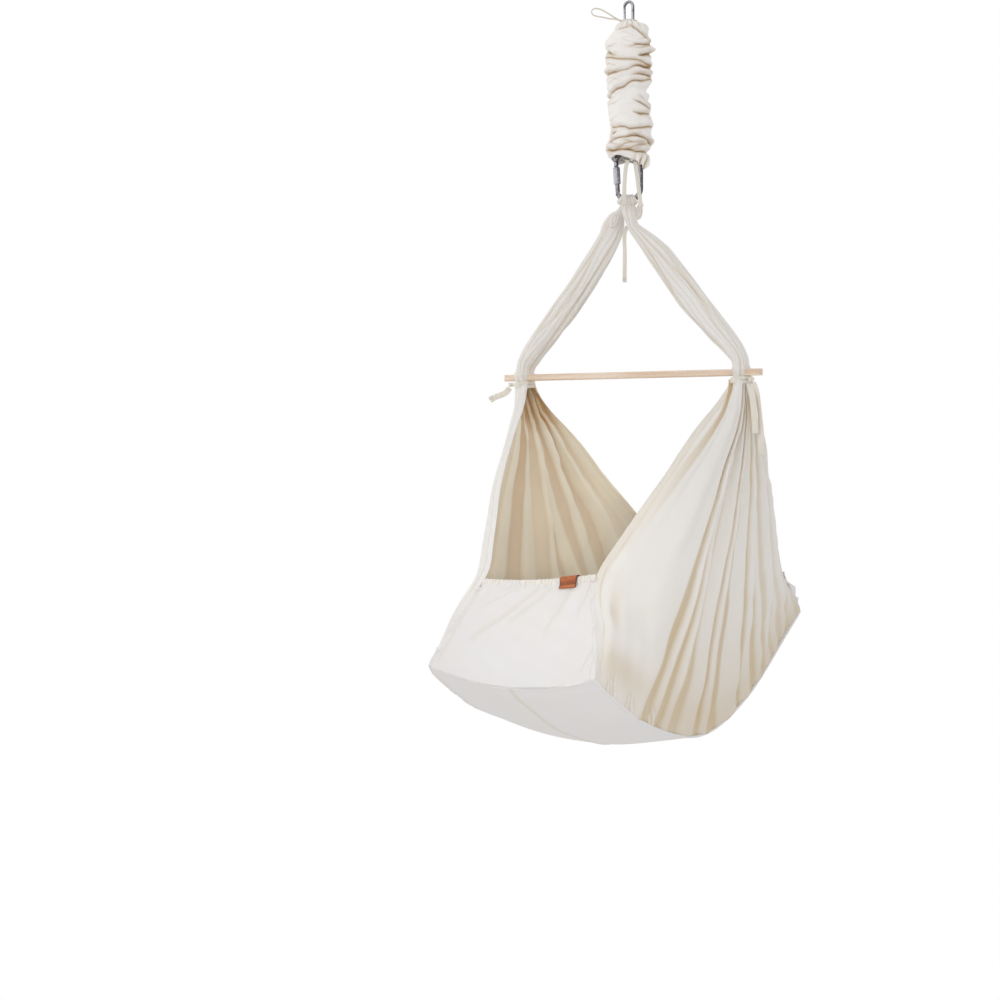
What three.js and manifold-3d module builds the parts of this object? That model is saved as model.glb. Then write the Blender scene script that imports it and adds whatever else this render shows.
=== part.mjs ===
// A hanging baby cradle: a cotton hammock on a wooden spreader bar, hung from a
// spring in a ruched cotton cover by a screw-lock carabiner and a small snap hook.
// Millimetres, +Z up. The origin is where the snap hook rests on a ceiling hook.
// X runs along the spreader bar and the front end panel is towards -Y.
import * as THREE from 'three';
import { mergeVertices } from 'three/addons/utils/BufferGeometryUtils.js';
import Module from 'manifold-3d';

const wasm = await Module();
wasm.setup();

// Driving dimensions
const BAR_LENGTH = 602;
const BAR_SIDE = 13;
const BAR_CORNER = 1.8;
const BAR_OVERHANG = 45;
const SPRING_REACH = 236;
const BOW_TO_BAR = 343;
const BAR_TO_BASE = 696;
const BASE_HALF_WIDTH = 190;
const BASE_HALF_LENGTH = 388;
const BASE_SAG = 28;
const CARABINER_TURN = THREE.MathUtils.degToRad(37.4);
const FIT = 0.3;
const OVERRUN = 4;

// Cloth
const CLOTH = 3;
const PANEL_CLOTH = 3;
const BASE_CLOTH = 3.5;
const NECK_HALF_WIDE = 20;
const NECK_HALF_DEEP = 26;
const NECK_BELOW_BAR = 32;
const BAR_PLAY = 0.6;

// The screw-lock carabiner and the snap hook, each in the plane of its own wire
const CARABINER = {
  width: 58, height: 108, wire: 10.5, gate: 9, nose: 9.5, noseHeight: 17, pivotDrop: 37,
  tongue: 4, pin: 3, play: 0.3, relief: 7.2, slot: 6.5, gap: 0.6, head: 4.8, headHigh: 0.8,
};
const SNAP_HOOK = {
  width: 26, height: 60, wire: 6, gate: 5, nose: 4, noseHeight: 13, pivotDrop: 19.5,
  tongue: 2.2, pin: 1.6, play: 0.3, relief: 4.2, slot: 3.8, gap: 0.5, head: 2.8, headHigh: 0.5,
};
const SLEEVE_WIDE = 14;
const SLEEVE_LONG = 33;
const SLEEVE_START = 19.5;
const SLEEVE_CHAMFER = 0.9;

const HOOK_MIDDLE = SNAP_HOOK.wire / 2 - (SNAP_HOOK.height - SNAP_HOOK.wire) / 2;
const HOOK_BOTTOM = HOOK_MIDDLE - (SNAP_HOOK.height - SNAP_HOOK.wire) / 2;
const CARABINER_TOP = HOOK_BOTTOM - SPRING_REACH;
const CARABINER_MIDDLE = CARABINER_TOP - (CARABINER.height - CARABINER.wire) / 2;
const BOW = CARABINER_MIDDLE - (CARABINER.height - CARABINER.wire) / 2;
const BAR_HEIGHT = BOW - BOW_TO_BAR;
const NECK_OUT = BAR_LENGTH / 2 - BAR_OVERHANG;

// Finishes
const cotton = { color: 0xe6e0d8, roughness: 0.95, metalness: 0 };
const liningCotton = { color: 0xd8ccb4, roughness: 0.95, metalness: 0 };
const tape = { color: 0xded6c4, roughness: 0.9, metalness: 0 };
const elastic = { color: 0xf0ede6, roughness: 0.8, metalness: 0 };
const wood = { color: 0xe6d0bc, roughness: 0.6, metalness: 0 };
const leather = { color: 0xb5673f, roughness: 0.55, metalness: 0 };
const steel = { color: 0x8f8b98, roughness: 0.28, metalness: 1 };
const springSteel = { color: 0x6d6b70, roughness: 0.4, metalness: 1 };
const snapMetal = { color: 0xb9b4a6, roughness: 0.35, metalness: 1 };

const cradle = new THREE.Group();

function add(name, geometry, finish, parent = cradle) {
  const mesh = new THREE.Mesh(geometry, new THREE.MeshStandardMaterial(finish));
  mesh.name = name;
  parent.add(mesh);
}

// Joining and cutting of closed meshes
function solidOf(geometry) {
  const bare = geometry.clone();
  bare.deleteAttribute('normal');
  bare.deleteAttribute('uv');
  const merged = mergeVertices(bare, MERGE);
  const source = { numProp: 3 };
  source.vertProperties = new Float32Array(merged.attributes.position.array);
  source.triVerts = new Uint32Array(merged.index.array);
  return new wasm.Manifold(new wasm.Mesh(source));
}

function geometryOf(solid) {
  const mesh = solid.getMesh();
  const geometry = new THREE.BufferGeometry();
  geometry.setAttribute('position', new THREE.BufferAttribute(mesh.vertProperties.slice(), 3));
  geometry.setIndex(new THREE.BufferAttribute(mesh.triVerts.slice(), 1));
  return geometry;
}

const MERGE = 1e-4;

// Volume inside a closed indexed mesh, below zero when it is inside out
function signedVolume(points, faces) {
  let sum = 0;
  const cross = new THREE.Vector3();
  for (const [a, b, c] of faces) {
    cross.crossVectors(points[b], points[c]);
    sum += points[a].dot(cross);
  }
  return sum;
}

function closedGeometry(points, faces) {
  const flip = signedVolume(points, faces) < 0;
  const geometry = new THREE.BufferGeometry().setFromPoints(points);
  geometry.setIndex(faces.flatMap(([a, b, c]) => (flip ? [a, c, b] : [a, b, c])));
  return geometry;
}

// A smooth value through knots: a cubic Hermite whose slopes are central differences
function smoothAt(knots, values, at) {
  let low = 0;
  while (low < knots.length - 2 && at > knots[low + 1]) low += 1;
  const slope = (index) => {
    const before = Math.max(index - 1, 0);
    const after = Math.min(index + 1, knots.length - 1);
    return (values[after] - values[before]) / (knots[after] - knots[before]);
  };
  const span = knots[low + 1] - knots[low];
  const s = (at - knots[low]) / span;
  const rise = s * s * (3 - 2 * s);
  const leave = s * (1 - s) * (1 - s);
  const arrive = s * s * (s - 1);
  return values[low] * (1 - rise) + values[low + 1] * rise
    + span * (slope(low) * leave + slope(low + 1) * arrive);
}

// The unit normal of a surface pointAt(across, down), both from 0 to 1
function normalAt(pointAt, a, d, nudge = NUDGE) {
  const alongA = pointAt(a + nudge, d).sub(pointAt(a - nudge, d));
  const alongD = pointAt(a, d + nudge).sub(pointAt(a, d - nudge));
  return alongA.cross(alongD).normalize();
}

const NUDGE = 1e-3;

// A sheet of cloth as a closed solid about its middle surface
function sheet(pointAt, across, down, thickness, nudge = NUDGE) {
  const face = (side) => (a, d) => (
    pointAt(a, d).addScaledVector(normalAt(pointAt, a, d, nudge), side * thickness / 2));
  return shell(face(1), face(-1), across, down);
}

// The closed solid between two surfaces that share one grid
function shell(upper, lower, across, down) {
  const points = [];
  for (const surface of [upper, lower]) {
    for (let j = 0; j <= down; j += 1) {
      for (let i = 0; i <= across; i += 1) points.push(surface(i / across, j / down));
    }
  }
  const layer = (across + 1) * (down + 1);
  const at = (i, j, side) => side * layer + j * (across + 1) + i;
  const faces = [];
  const quad = (a, b, c, d) => faces.push([a, b, c], [a, c, d]);
  for (let j = 0; j < down; j += 1) {
    for (let i = 0; i < across; i += 1) {
      quad(at(i, j, 0), at(i + 1, j, 0), at(i + 1, j + 1, 0), at(i, j + 1, 0));
      quad(at(i, j, 1), at(i, j + 1, 1), at(i + 1, j + 1, 1), at(i + 1, j, 1));
    }
  }
  for (let i = 0; i < across; i += 1) {
    quad(at(i + 1, 0, 0), at(i, 0, 0), at(i, 0, 1), at(i + 1, 0, 1));
    quad(at(i, down, 0), at(i + 1, down, 0), at(i + 1, down, 1), at(i, down, 1));
  }
  for (let j = 0; j < down; j += 1) {
    quad(at(0, j, 0), at(0, j + 1, 0), at(0, j + 1, 1), at(0, j, 1));
    quad(at(across, j + 1, 0), at(across, j, 0), at(across, j, 1), at(across, j + 1, 1));
  }
  return closedGeometry(points, faces);
}

// A skin over rings of points, closed by a fan at each end or joined into a loop
function loft(rings, looped = false) {
  const count = rings[0].length;
  const points = rings.flat();
  const faces = [];
  const last = looped ? rings.length : rings.length - 1;
  for (let r = 0; r < last; r += 1) {
    const next = (r + 1) % rings.length;
    for (let k = 0; k < count; k += 1) {
      const n = (k + 1) % count;
      faces.push([r * count + k, r * count + n, next * count + n]);
      faces.push([r * count + k, next * count + n, next * count + k]);
    }
  }
  if (!looped) {
    for (const [ring, sign] of [[0, 1], [rings.length - 1, -1]]) {
      const middle = new THREE.Vector3();
      rings[ring].forEach((point) => middle.addScaledVector(point, 1 / count));
      const hub = points.push(middle) - 1;
      for (let k = 0; k < count; k += 1) {
        const a = ring * count + k;
        const b = ring * count + (k + 1) % count;
        faces.push(sign > 0 ? [hub, b, a] : [hub, a, b]);
      }
    }
  }
  return closedGeometry(points, faces);
}

// Rings of a round or flat section carried along points without twisting
function carried(path, halfWide, halfHigh, sides, startSide, looped = false) {
  let side = startSide.clone();
  return path.map((point, index) => {
    const before = path[looped ? (index + path.length - 1) % path.length : Math.max(index - 1, 0)];
    const after = path[looped ? (index + 1) % path.length : Math.min(index + 1, path.length - 1)];
    const tangent = after.clone().sub(before).normalize();
    side = side.addScaledVector(tangent, -side.dot(tangent)).normalize();
    const up = tangent.clone().cross(side);
    return Array.from({ length: sides }, (_, k) => {
      const angle = 2 * Math.PI * (k + 1 / 2) / sides;
      return point.clone()
        .addScaledVector(side, halfWide * Math.cos(angle))
        .addScaledVector(up, halfHigh * Math.sin(angle));
    });
  });
}

function rod(radius, length, from, direction, sides = ROUND_SIDES) {
  const geometry = new THREE.CylinderGeometry(radius, radius, length, sides);
  geometry.translate(0, length / 2, 0);
  const turn = new THREE.Quaternion().setFromUnitVectors(new THREE.Vector3(0, 1, 0), direction);
  return geometry.applyQuaternion(turn).translate(from.x, from.y, from.z);
}

const ROUND_SIDES = 12;
const RING_STEPS = 24;
const ACROSS = new THREE.Vector3(0, 1, 0);

// A rod across the wire's plane, centred on it, for pins, cheeks and their cuts
function crossRod(radius, length, middle) {
  return rod(radius, length, middle.clone().addScaledVector(ACROSS, -length / 2), ACROSS);
}

// Carabiners, each drawn in X-Z about the middle of its height with its gate at -X
const ARC_STEPS = 10;
const WIRE_STEPS = 32;
const WIRE_SIDES = 8;

function carabinerLines(spec) {
  const bend = (spec.width - spec.wire) / 2;
  const straight = (spec.height - spec.wire) / 2 - bend;
  const below = spec.pivotDrop - straight;
  const pivot = new THREE.Vector3(-Math.sqrt(bend ** 2 - below ** 2), 0, -spec.pivotDrop);
  const mouth = new THREE.Vector3(-bend, 0, spec.noseHeight);
  const rise = mouth.clone().sub(pivot).normalize();
  const root = mouth.clone().addScaledVector(rise, spec.nose);
  return { bend, straight, below, pivot, mouth, rise, root };
}

function wirePath(spec) {
  const { bend, straight, below, root } = carabinerLines(spec);
  const points = [root];
  const rootAngle = Math.asin((root.z - straight) / bend);
  for (let k = 1; k <= ARC_STEPS; k += 1) {
    const angle = (Math.PI - rootAngle) * (1 - k / ARC_STEPS);
    points.push(new THREE.Vector3(bend * Math.cos(angle), 0, straight + bend * Math.sin(angle)));
  }
  const sweep = Math.PI - Math.asin(below / bend);
  for (let k = 0; k <= ARC_STEPS; k += 1) {
    const angle = -sweep * k / ARC_STEPS;
    points.push(new THREE.Vector3(bend * Math.cos(angle), 0, bend * Math.sin(angle) - straight));
  }
  return new THREE.CatmullRomCurve3(points, false, 'centripetal');
}

function tube(path, radius, steps, sides) {
  const section = new THREE.Shape().absarc(0, 0, radius, 0, 2 * Math.PI);
  const options = { extrudePath: path, steps, curveSegments: sides / 2, bevelEnabled: false };
  return new THREE.ExtrudeGeometry(section, options);
}

function carabinerBody(spec) {
  const { pivot, mouth, rise } = carabinerLines(spec);
  const reach = spec.wire;
  let body = solidOf(tube(wirePath(spec), spec.wire / 2, WIRE_STEPS, WIRE_SIDES));
  body = body.add(solidOf(rod(spec.gate / 2, spec.nose + spec.gap, mouth, rise)));
  body = body.add(solidOf(crossRod(spec.gate / 2, spec.tongue, pivot)));
  for (const side of [1, -1]) {
    const middle = pivot.clone().addScaledVector(ACROSS, side * (spec.tongue + reach) / 2);
    body = body.subtract(solidOf(crossRod(spec.relief, reach, middle)));
  }
  return geometryOf(body.subtract(solidOf(crossRod(spec.pin / 2 + spec.play, reach, pivot))));
}

function carabinerGate(spec) {
  const { pivot, mouth, rise } = carabinerLines(spec);
  const long = mouth.distanceTo(pivot) - spec.gap;
  let gate = solidOf(rod(spec.gate / 2, long, pivot, rise));
  gate = gate.add(solidOf(crossRod(spec.gate / 2, spec.gate, pivot)));
  gate = gate.subtract(solidOf(crossRod(spec.slot, spec.tongue + 2 * spec.play, pivot)));
  const hole = crossRod(spec.pin / 2 + spec.play, spec.gate + OVERRUN, pivot);
  return geometryOf(gate.subtract(solidOf(hole)));
}

function gatePin(spec) {
  const { pivot } = carabinerLines(spec);
  const shaft = spec.pin / 2;
  const head = spec.head / 2;
  const inside = spec.gate / 2 + spec.play;
  const outside = inside + spec.headHigh;
  const profile = [
    [0, -outside], [head, -outside], [head, -inside], [shaft, -inside],
    [shaft, inside], [head, inside], [head, outside], [0, outside],
  ].map(([x, y]) => new THREE.Vector2(x, y));
  return new THREE.LatheGeometry(profile, ROUND_SIDES).translate(pivot.x, pivot.y, pivot.z);
}

function lockSleeve(spec) {
  const { pivot, rise } = carabinerLines(spec);
  const bore = spec.gate / 2 + FIT;
  const outer = SLEEVE_WIDE / 2;
  const edge = outer - SLEEVE_CHAMFER;
  const profile = [
    [bore, 0], [edge, 0], [outer, SLEEVE_CHAMFER], [outer, SLEEVE_LONG - SLEEVE_CHAMFER],
    [edge, SLEEVE_LONG], [bore, SLEEVE_LONG], [bore, 0],
  ].map(([x, y]) => new THREE.Vector2(x, y));
  const turn = new THREE.Quaternion().setFromUnitVectors(ACROSS, rise);
  const start = pivot.clone().addScaledVector(rise, SLEEVE_START);
  return new THREE.LatheGeometry(profile, ROUND_SIDES).applyQuaternion(turn)
    .translate(start.x, start.y, start.z);
}

const snapHook = new THREE.Group();
snapHook.position.z = HOOK_MIDDLE;
cradle.add(snapHook);
add('top_hook_body', carabinerBody(SNAP_HOOK), steel, snapHook);
add('top_hook_gate', carabinerGate(SNAP_HOOK), steel, snapHook);
add('top_hook_gate_pin', gatePin(SNAP_HOOK), steel, snapHook);

const carabiner = new THREE.Group();
carabiner.position.z = CARABINER_MIDDLE;
carabiner.rotation.z = CARABINER_TURN;
cradle.add(carabiner);
add('carabiner_body', carabinerBody(CARABINER), steel, carabiner);
add('carabiner_gate', carabinerGate(CARABINER), steel, carabiner);
add('carabiner_gate_pin', gatePin(CARABINER), steel, carabiner);
add('carabiner_lock_sleeve', lockSleeve(CARABINER), steel, carabiner);

// The extension spring: an eye in the Y-Z plane over the snap hook's lower wire, the
// coil, and an eye square to the carabiner's plane under its upper wire
const SPRING_WIRE = 4.5;
const COIL_RADIUS = 17;
const COIL_TURN_COUNT = 16;
const EYE_RADIUS = 10;
const EYE_SPAN = 1.5 * Math.PI;
const EYE_TO_COIL = 6;
const EYE_STEPS = 12;
const CURL_STEPS = 8;
const CURL_SIDES = 5;
const LEAVE_SHARES = { out: 0.62, down: 0.6 };

function springPath() {
  const seat = FIT + SPRING_WIRE / 2 - EYE_RADIUS;
  const upper = HOOK_BOTTOM + SNAP_HOOK.wire / 2 + seat;
  const lower = CARABINER_TOP - CARABINER.wire / 2 - seat;
  const across = new THREE.Vector3(-Math.sin(CARABINER_TURN), Math.cos(CARABINER_TURN), 0);
  const eye = (middle, direction, sign) => Array.from({ length: EYE_STEPS + 1 }, (_, k) => {
    const angle = Math.PI / 2 - EYE_SPAN * (1 - k / EYE_STEPS);
    const point = direction.clone().multiplyScalar(EYE_RADIUS * Math.sin(angle));
    return point.setZ(middle + sign * EYE_RADIUS * Math.cos(angle));
  });
  const leave = (middle, direction, sign) => {
    const out = EYE_RADIUS + (COIL_RADIUS - EYE_RADIUS) * LEAVE_SHARES.out;
    const point = direction.clone().multiplyScalar(out);
    return point.setZ(middle - sign * (EYE_RADIUS + EYE_TO_COIL) * LEAVE_SHARES.down);
  };
  const top = upper - EYE_RADIUS - EYE_TO_COIL;
  const bottom = lower + EYE_RADIUS + EYE_TO_COIL;
  const turns = COIL_TURN_COUNT + CARABINER_TURN / (2 * Math.PI);
  const steps = Math.round(turns * CURL_STEPS);
  const coil = Array.from({ length: steps + 1 }, (_, k) => {
    const angle = Math.PI / 2 + 2 * Math.PI * turns * k / steps;
    const height = THREE.MathUtils.lerp(top, bottom, k / steps);
    return new THREE.Vector3(COIL_RADIUS * Math.cos(angle), COIL_RADIUS * Math.sin(angle), height);
  });
  return [
    ...eye(upper, ACROSS, 1), leave(upper, ACROSS, 1), ...coil,
    leave(lower, across, -1), ...eye(lower, across, -1).reverse(),
  ];
}

// Least gap of a wound wire to itself, between points more than half a turn apart
function leastGap(path, width, apart) {
  let least = Infinity;
  for (let a = 0; a < path.length; a += 1) {
    for (let b = a + apart; b < path.length; b += 1) {
      least = Math.min(least, path[a].distanceTo(path[b]) - width);
    }
  }
  return least;
}

const springLine = springPath();
console.log('spring: least gap between turns', leastGap(springLine, SPRING_WIRE, CURL_STEPS / 2 + 1));
const startSide = new THREE.Vector3(1, 0, 0);
const springRings = carried(springLine, SPRING_WIRE / 2, SPRING_WIRE / 2, CURL_SIDES, startSide);
add('extension_spring', loft(springRings), springSteel);

// The ruched cover: a tube of cotton gathered into ruffles, closed round the snap hook
// by its drawstring and open round the carabiner
const COVER_RADIUS = 41;
const COVER_TOP = -36;
const COVER_LONG = 277;
const COVER_SLANT = 14;
const COVER_BORE = 33.4;
const RUFFLE_DEEP = 3.6;
const RUFFLE_COUNT = 9;
const RUFFLE_TILT = 1.3;
const COVER_RING_STEPS = 34;
const COVER_SIDES = 16;
const BORE_RING_STEPS = 5;
const BORE_STEP = 12;
const STRING = 2.5;
const CORD_SIDES = 6;
const STRING_PLAY = 1.35;
const MOUTH_RADIUS = SNAP_HOOK.width / 2 + STRING_PLAY;
const coverKnots = [0, 0.03, 0.07, 0.14, 0.25, 0.4, 0.55, 0.7, 0.82, 0.93, 1];
const coverWideShares = [0.5, 0.86, 1, 1.1, 1.02, 1, 0.97, 1.02, 1.03, 0.98, 0.86];

function coverHeight(down, angle) {
  const low = COVER_LONG + COVER_SLANT * Math.cos(angle - CARABINER_TURN);
  return COVER_TOP - down * low;
}

function coverPoint(down, angle) {
  const wave = Math.cos(2 * Math.PI * RUFFLE_COUNT * down + RUFFLE_TILT * Math.sin(angle));
  const calm = Math.min(down, 1 - down) * RUFFLE_COUNT;
  const deep = RUFFLE_DEEP * Math.min(calm, 1);
  const radius = COVER_RADIUS * smoothAt(coverKnots, coverWideShares, down) + deep * wave;
  const height = coverHeight(down, angle);
  return new THREE.Vector3(radius * Math.cos(angle), radius * Math.sin(angle), height);
}

function borePoint(share, angle) {
  const start = BORE_STEP / COVER_LONG;
  const down = share === 0 ? 0 : start + (1 - start) * (share * BORE_RING_STEPS - 1) / (BORE_RING_STEPS - 1);
  const radius = share === 0 ? MOUTH_RADIUS : COVER_BORE;
  const height = coverHeight(down, angle);
  return new THREE.Vector3(radius * Math.cos(angle), radius * Math.sin(angle), height);
}

function coverRings() {
  const ringOf = (point, share) => Array.from({ length: COVER_SIDES }, (_, k) => (
    point(share, 2 * Math.PI * k / COVER_SIDES)));
  const outer = Array.from({ length: COVER_RING_STEPS + 1 }, (_, k) => (
    ringOf(coverPoint, k / COVER_RING_STEPS)));
  const inner = Array.from({ length: BORE_RING_STEPS + 1 }, (_, k) => (
    ringOf(borePoint, 1 - k / BORE_RING_STEPS)));
  return [...outer, ...inner];
}

add('spring_cover', loft(coverRings(), true), cotton);

const stringRadius = MOUTH_RADIUS + STRING / 2;
const stringHeight = COVER_TOP + FIT + STRING / 2;
const drawRing = new THREE.TorusGeometry(stringRadius, STRING / 2, CORD_SIDES, RING_STEPS);
add('cover_drawstring', drawRing.translate(0, 0, stringHeight), tape);

// The lower drawstring: a ring inside the cover's slanted mouth with its knot in front
const KNOT_WIDE = 11;
const KNOT_DEEP = 5.5;
const KNOT_HIGH = 6;
const KNOT_STEPS = 8;
const KNOT_SIDE = 6;
const LOWER_STRING_RISE = 10;

function lowerDrawstring() {
  const flat = COVER_BORE * Math.cos(Math.PI / COVER_SIDES);
  const radius = flat - FIT - STRING / 2;
  const path = Array.from({ length: RING_STEPS }, (_, k) => {
    const angle = 2 * Math.PI * k / RING_STEPS;
    const height = coverHeight(1, angle) + LOWER_STRING_RISE;
    return new THREE.Vector3(radius * Math.cos(angle), radius * Math.sin(angle), height);
  });
  const up = new THREE.Vector3(0, 0, 1);
  const ring = loft(carried(path, STRING / 2, STRING / 2, CORD_SIDES, up, true), true);
  const knot = new THREE.SphereGeometry(1, KNOT_STEPS, KNOT_STEPS);
  knot.scale(KNOT_WIDE, KNOT_DEEP, KNOT_HIGH).rotateZ(CARABINER_TURN);
  const middle = knotMiddle();
  return geometryOf(solidOf(ring).add(solidOf(knot.translate(middle.x, middle.y, middle.z))));
}

function knotMiddle() {
  const front = CARABINER_TURN - Math.PI / 2;
  const out = COVER_BORE - STRING - KNOT_DEEP;
  const height = coverHeight(1, front) + LOWER_STRING_RISE - KNOT_HIGH / 2;
  return turned(KNOT_SIDE, -out, height, 1);
}

// A place given along and away from the carabiner's plane, turned by a share of its turn
function turned(along, away, height, share) {
  const point = new THREE.Vector3(along, away, height);
  return point.applyAxisAngle(new THREE.Vector3(0, 0, 1), CARABINER_TURN * share);
}

add('cover_lower_drawstring', lowerDrawstring(), tape);

// The side cloths: a gathered arm that hangs by a sewn loop on the carabiner's bow,
// takes the bar through its neck and fans out into the wall of the cradle
const ARM_HALF_WIDE = 25.5;
const ARM_ASIDE = 12;
const ARM_SIDES = 12;
const ARM_RIDGE_SHARE = 0.07;
const LOOP_CLOTH = 3.2;
const LOOP_PLAY = 1.8;
const LOOP_DROP = 0.9;
const LOOP_STEPS = 4;
const LOOP_ENDS = { right: [0.5, 12], left: [-14, -4.5] };
const armShares = {
  right: {
    fall: [0.026, 0.048, 0.083, 0.124, 0.162, 0.226, 0.284, 0.339, 0.456, 0.575, 0.738, 0.91, 1],
    out: [0.023, 0.018, 0.008, 0.02, 0.055, 0.156, 0.242, 0.312, 0.434, 0.566, 0.762, 0.965, 1],
    aside: [0, -0.29, -0.75, -0.83, -0.83, -0.67, -0.42, -0.25, 0, 0, 0, 0.17, 0.25],
    wide: [0.24, 0.35, 0.55, 0.55, 0.55, 0.67, 0.82, 0.94, 1, 1, 0.94, 0.82, 0.78],
    deep: [0.23, 0.25, 0.31, 0.35, 0.38, 0.42, 0.46, 0.54, 0.62, 0.65, 0.73, 0.88, 1],
    turn: [1, 1, 0.8, 0.6, 0.4, 0.2, 0, 0, 0, 0, 0, 0, 0],
  },
  left: {
    fall: [0.026, 0.048, 0.074, 0.103, 0.15, 0.205, 0.263, 0.339, 0.456, 0.575, 0.738, 0.91, 1],
    out: [-0.037, -0.045, -0.066, -0.105, -0.141, -0.18, -0.234, -0.305, -0.426, -0.562, -0.762,
      -0.965, -1],
    aside: [0, 0.33, 0.83, 1, 0.83, 0.67, 0.42, 0.25, 0, 0, 0, 0.17, 0.25],
    wide: [0.2, 0.27, 0.39, 0.67, 0.86, 0.9, 0.94, 0.98, 1, 1, 0.94, 0.82, 0.78],
    deep: [0.23, 0.25, 0.31, 0.38, 0.46, 0.5, 0.54, 0.58, 0.62, 0.65, 0.73, 0.88, 1],
    turn: [1, 1, 0.8, 0.5, 0.3, 0.1, 0, 0, 0, 0, 0, 0, 0],
  },
};

function armRings(hand, grow) {
  const shares = armShares[hand];
  const middles = shares.fall.map((fall, k) => (
    turned(shares.out[k] * NECK_OUT, shares.aside[k] * ARM_ASIDE, BOW - fall * BOW_TO_BAR,
      shares.turn[k])));
  const last = middles.length - 1;
  middles.push(middles[last].clone().setZ(BAR_HEIGHT - NECK_BELOW_BAR));
  return middles.map((middle, k) => {
    const from = middles[Math.max(k - 1, 0)];
    const to = middles[Math.min(k + 1, middles.length - 1)];
    const tangent = k >= last ? new THREE.Vector3(0, 0, -1) : to.clone().sub(from).normalize();
    const row = Math.min(k, last);
    const depth = turned(0, 1, 0, shares.turn[row]);
    const side = tangent.clone().cross(depth).normalize();
    const back = side.clone().cross(tangent);
    const wide = shares.wide[row] * ARM_HALF_WIDE + grow;
    const deep = shares.deep[row] * NECK_HALF_DEEP + grow;
    return Array.from({ length: ARM_SIDES }, (_, n) => {
      const angle = 2 * Math.PI * n / ARM_SIDES;
      const ridge = 1 + ARM_RIDGE_SHARE * Math.cos(ARM_SIDES / 2 * angle);
      return middle.clone()
        .addScaledVector(side, wide * ridge * Math.cos(angle))
        .addScaledVector(back, deep * ridge * Math.sin(angle));
    });
  });
}

// A stretch of tube round the carabiner's bow, lowered by the loop's slack
function bowTube(from, to, radius) {
  const { bend } = carabinerLines(CARABINER);
  const points = Array.from({ length: LOOP_STEPS + 1 }, (_, k) => {
    const along = THREE.MathUtils.lerp(from, to, k / LOOP_STEPS);
    const rise = bend - Math.sqrt(bend ** 2 - along ** 2);
    return turned(along, 0, BOW + rise - LOOP_DROP, 1);
  });
  return solidOf(tube(new THREE.CatmullRomCurve3(points), radius, LOOP_STEPS, ROUND_SIDES));
}

function armSolid(hand, grow = 0) {
  const [from, to] = LOOP_ENDS[hand];
  const bore = CARABINER.wire / 2 + LOOP_PLAY;
  const loop = bowTube(from - grow, to + grow, bore + LOOP_CLOTH + grow);
  const arm = solidOf(loft(armRings(hand, grow))).add(loop);
  return arm.subtract(bowTube(from - OVERRUN, to + OVERRUN, bore));
}

// The right wall's middle surface as shares of the neck-to-base sizes: a column per knot
// from the front edge to the rear edge, a row per knot from the neck to the base seam
const columnKnots = [0, 0.045, 0.27, 0.5, 0.73, 0.95, 1];
const rowKnots = [0, 0.114, 0.269, 0.419, 0.572, 0.802, 1];
const wallOutShares = [
  [0.949, 0.984, 1.031, 1.047, 1.031, 0.992, 0.953],
  [0.861, 0.966, 1.03, 1.038, 1.014, 0.978, 0.938],
  [0.777, 0.89, 1.007, 1.024, 0.991, 0.89, 0.827],
  [0.648, 0.78, 0.981, 1.016, 0.972, 0.78, 0.692],
  [0.573, 0.733, 0.971, 1.017, 0.971, 0.742, 0.628],
  [0.803, 0.931, 1.014, 1.044, 1.005, 0.867, 0.803],
  [1, 1.016, 1.026, 1.032, 1.026, 0.974, 0.947],
];
const wallBackShares = [
  [-0.32, -0.64, -0.4, 0.12, 0.6, 0.84, 0.6],
  [-1.145, -0.934, -0.422, 0.181, 0.813, 1.386, 1.687],
  [-1.329, -1.223, -0.652, 0.065, 0.815, 1.468, 1.688],
  [-1.333, -1.276, -0.734, 0, 0.734, 1.513, 1.671],
  [-1.247, -1.212, -0.722, -0.043, 0.623, 1.419, 1.599],
  [-1.076, -1.028, -0.595, -0.089, 0.411, 1.019, 1.17],
  [-0.995, -0.92, -0.554, -0.103, 0.335, 0.825, 0.938],
];
const wallFallShares = [
  [0.029, 0.029, 0.029, 0.029, 0.029, 0.029, 0.029],
  [0.139, 0.139, 0.139, 0.139, 0.139, 0.139, 0.139],
  [0.29, 0.29, 0.29, 0.29, 0.29, 0.29, 0.29],
  [0.435, 0.435, 0.44, 0.443, 0.44, 0.435, 0.435],
  [0.55, 0.563, 0.606, 0.628, 0.606, 0.592, 0.588],
  [0.671, 0.69, 0.8, 0.843, 0.79, 0.664, 0.642],
  [0.792, 0.826, 0.934, 0.986, 0.903, 0.722, 0.685],
];
const WALL_ACROSS_STEPS = 28;
const WALL_DOWN_STEPS = 10;
const FOLD_COUNT = 7;
const FOLD_DEEP = 7.5;
const FOLD_RIDGE_SHARE = 0.6;
const NECK_HALF_BACK = 25;
const foldRowShares = [0.3, 0.65, 1, 0.9, 0.7, 0.45, 0];
const foldColumnShares = [0, 0.25, 0.35, 1, 1, 0.6, 0];

function tableAt(table, column, row) {
  return smoothAt(rowKnots, table.map((values) => smoothAt(columnKnots, values, column)), row);
}

// The main pleats' height from -1 to 1: a slow climb to the ridge, then a quicker drop
function foldWave(column) {
  const place = (column * FOLD_COUNT) % 1;
  const climb = place / FOLD_RIDGE_SHARE;
  const drop = (place - FOLD_RIDGE_SHARE) / (1 - FOLD_RIDGE_SHARE);
  const phase = place < FOLD_RIDGE_SHARE ? climb / 2 : (1 + drop) / 2;
  return -Math.cos(2 * Math.PI * phase);
}

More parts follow.
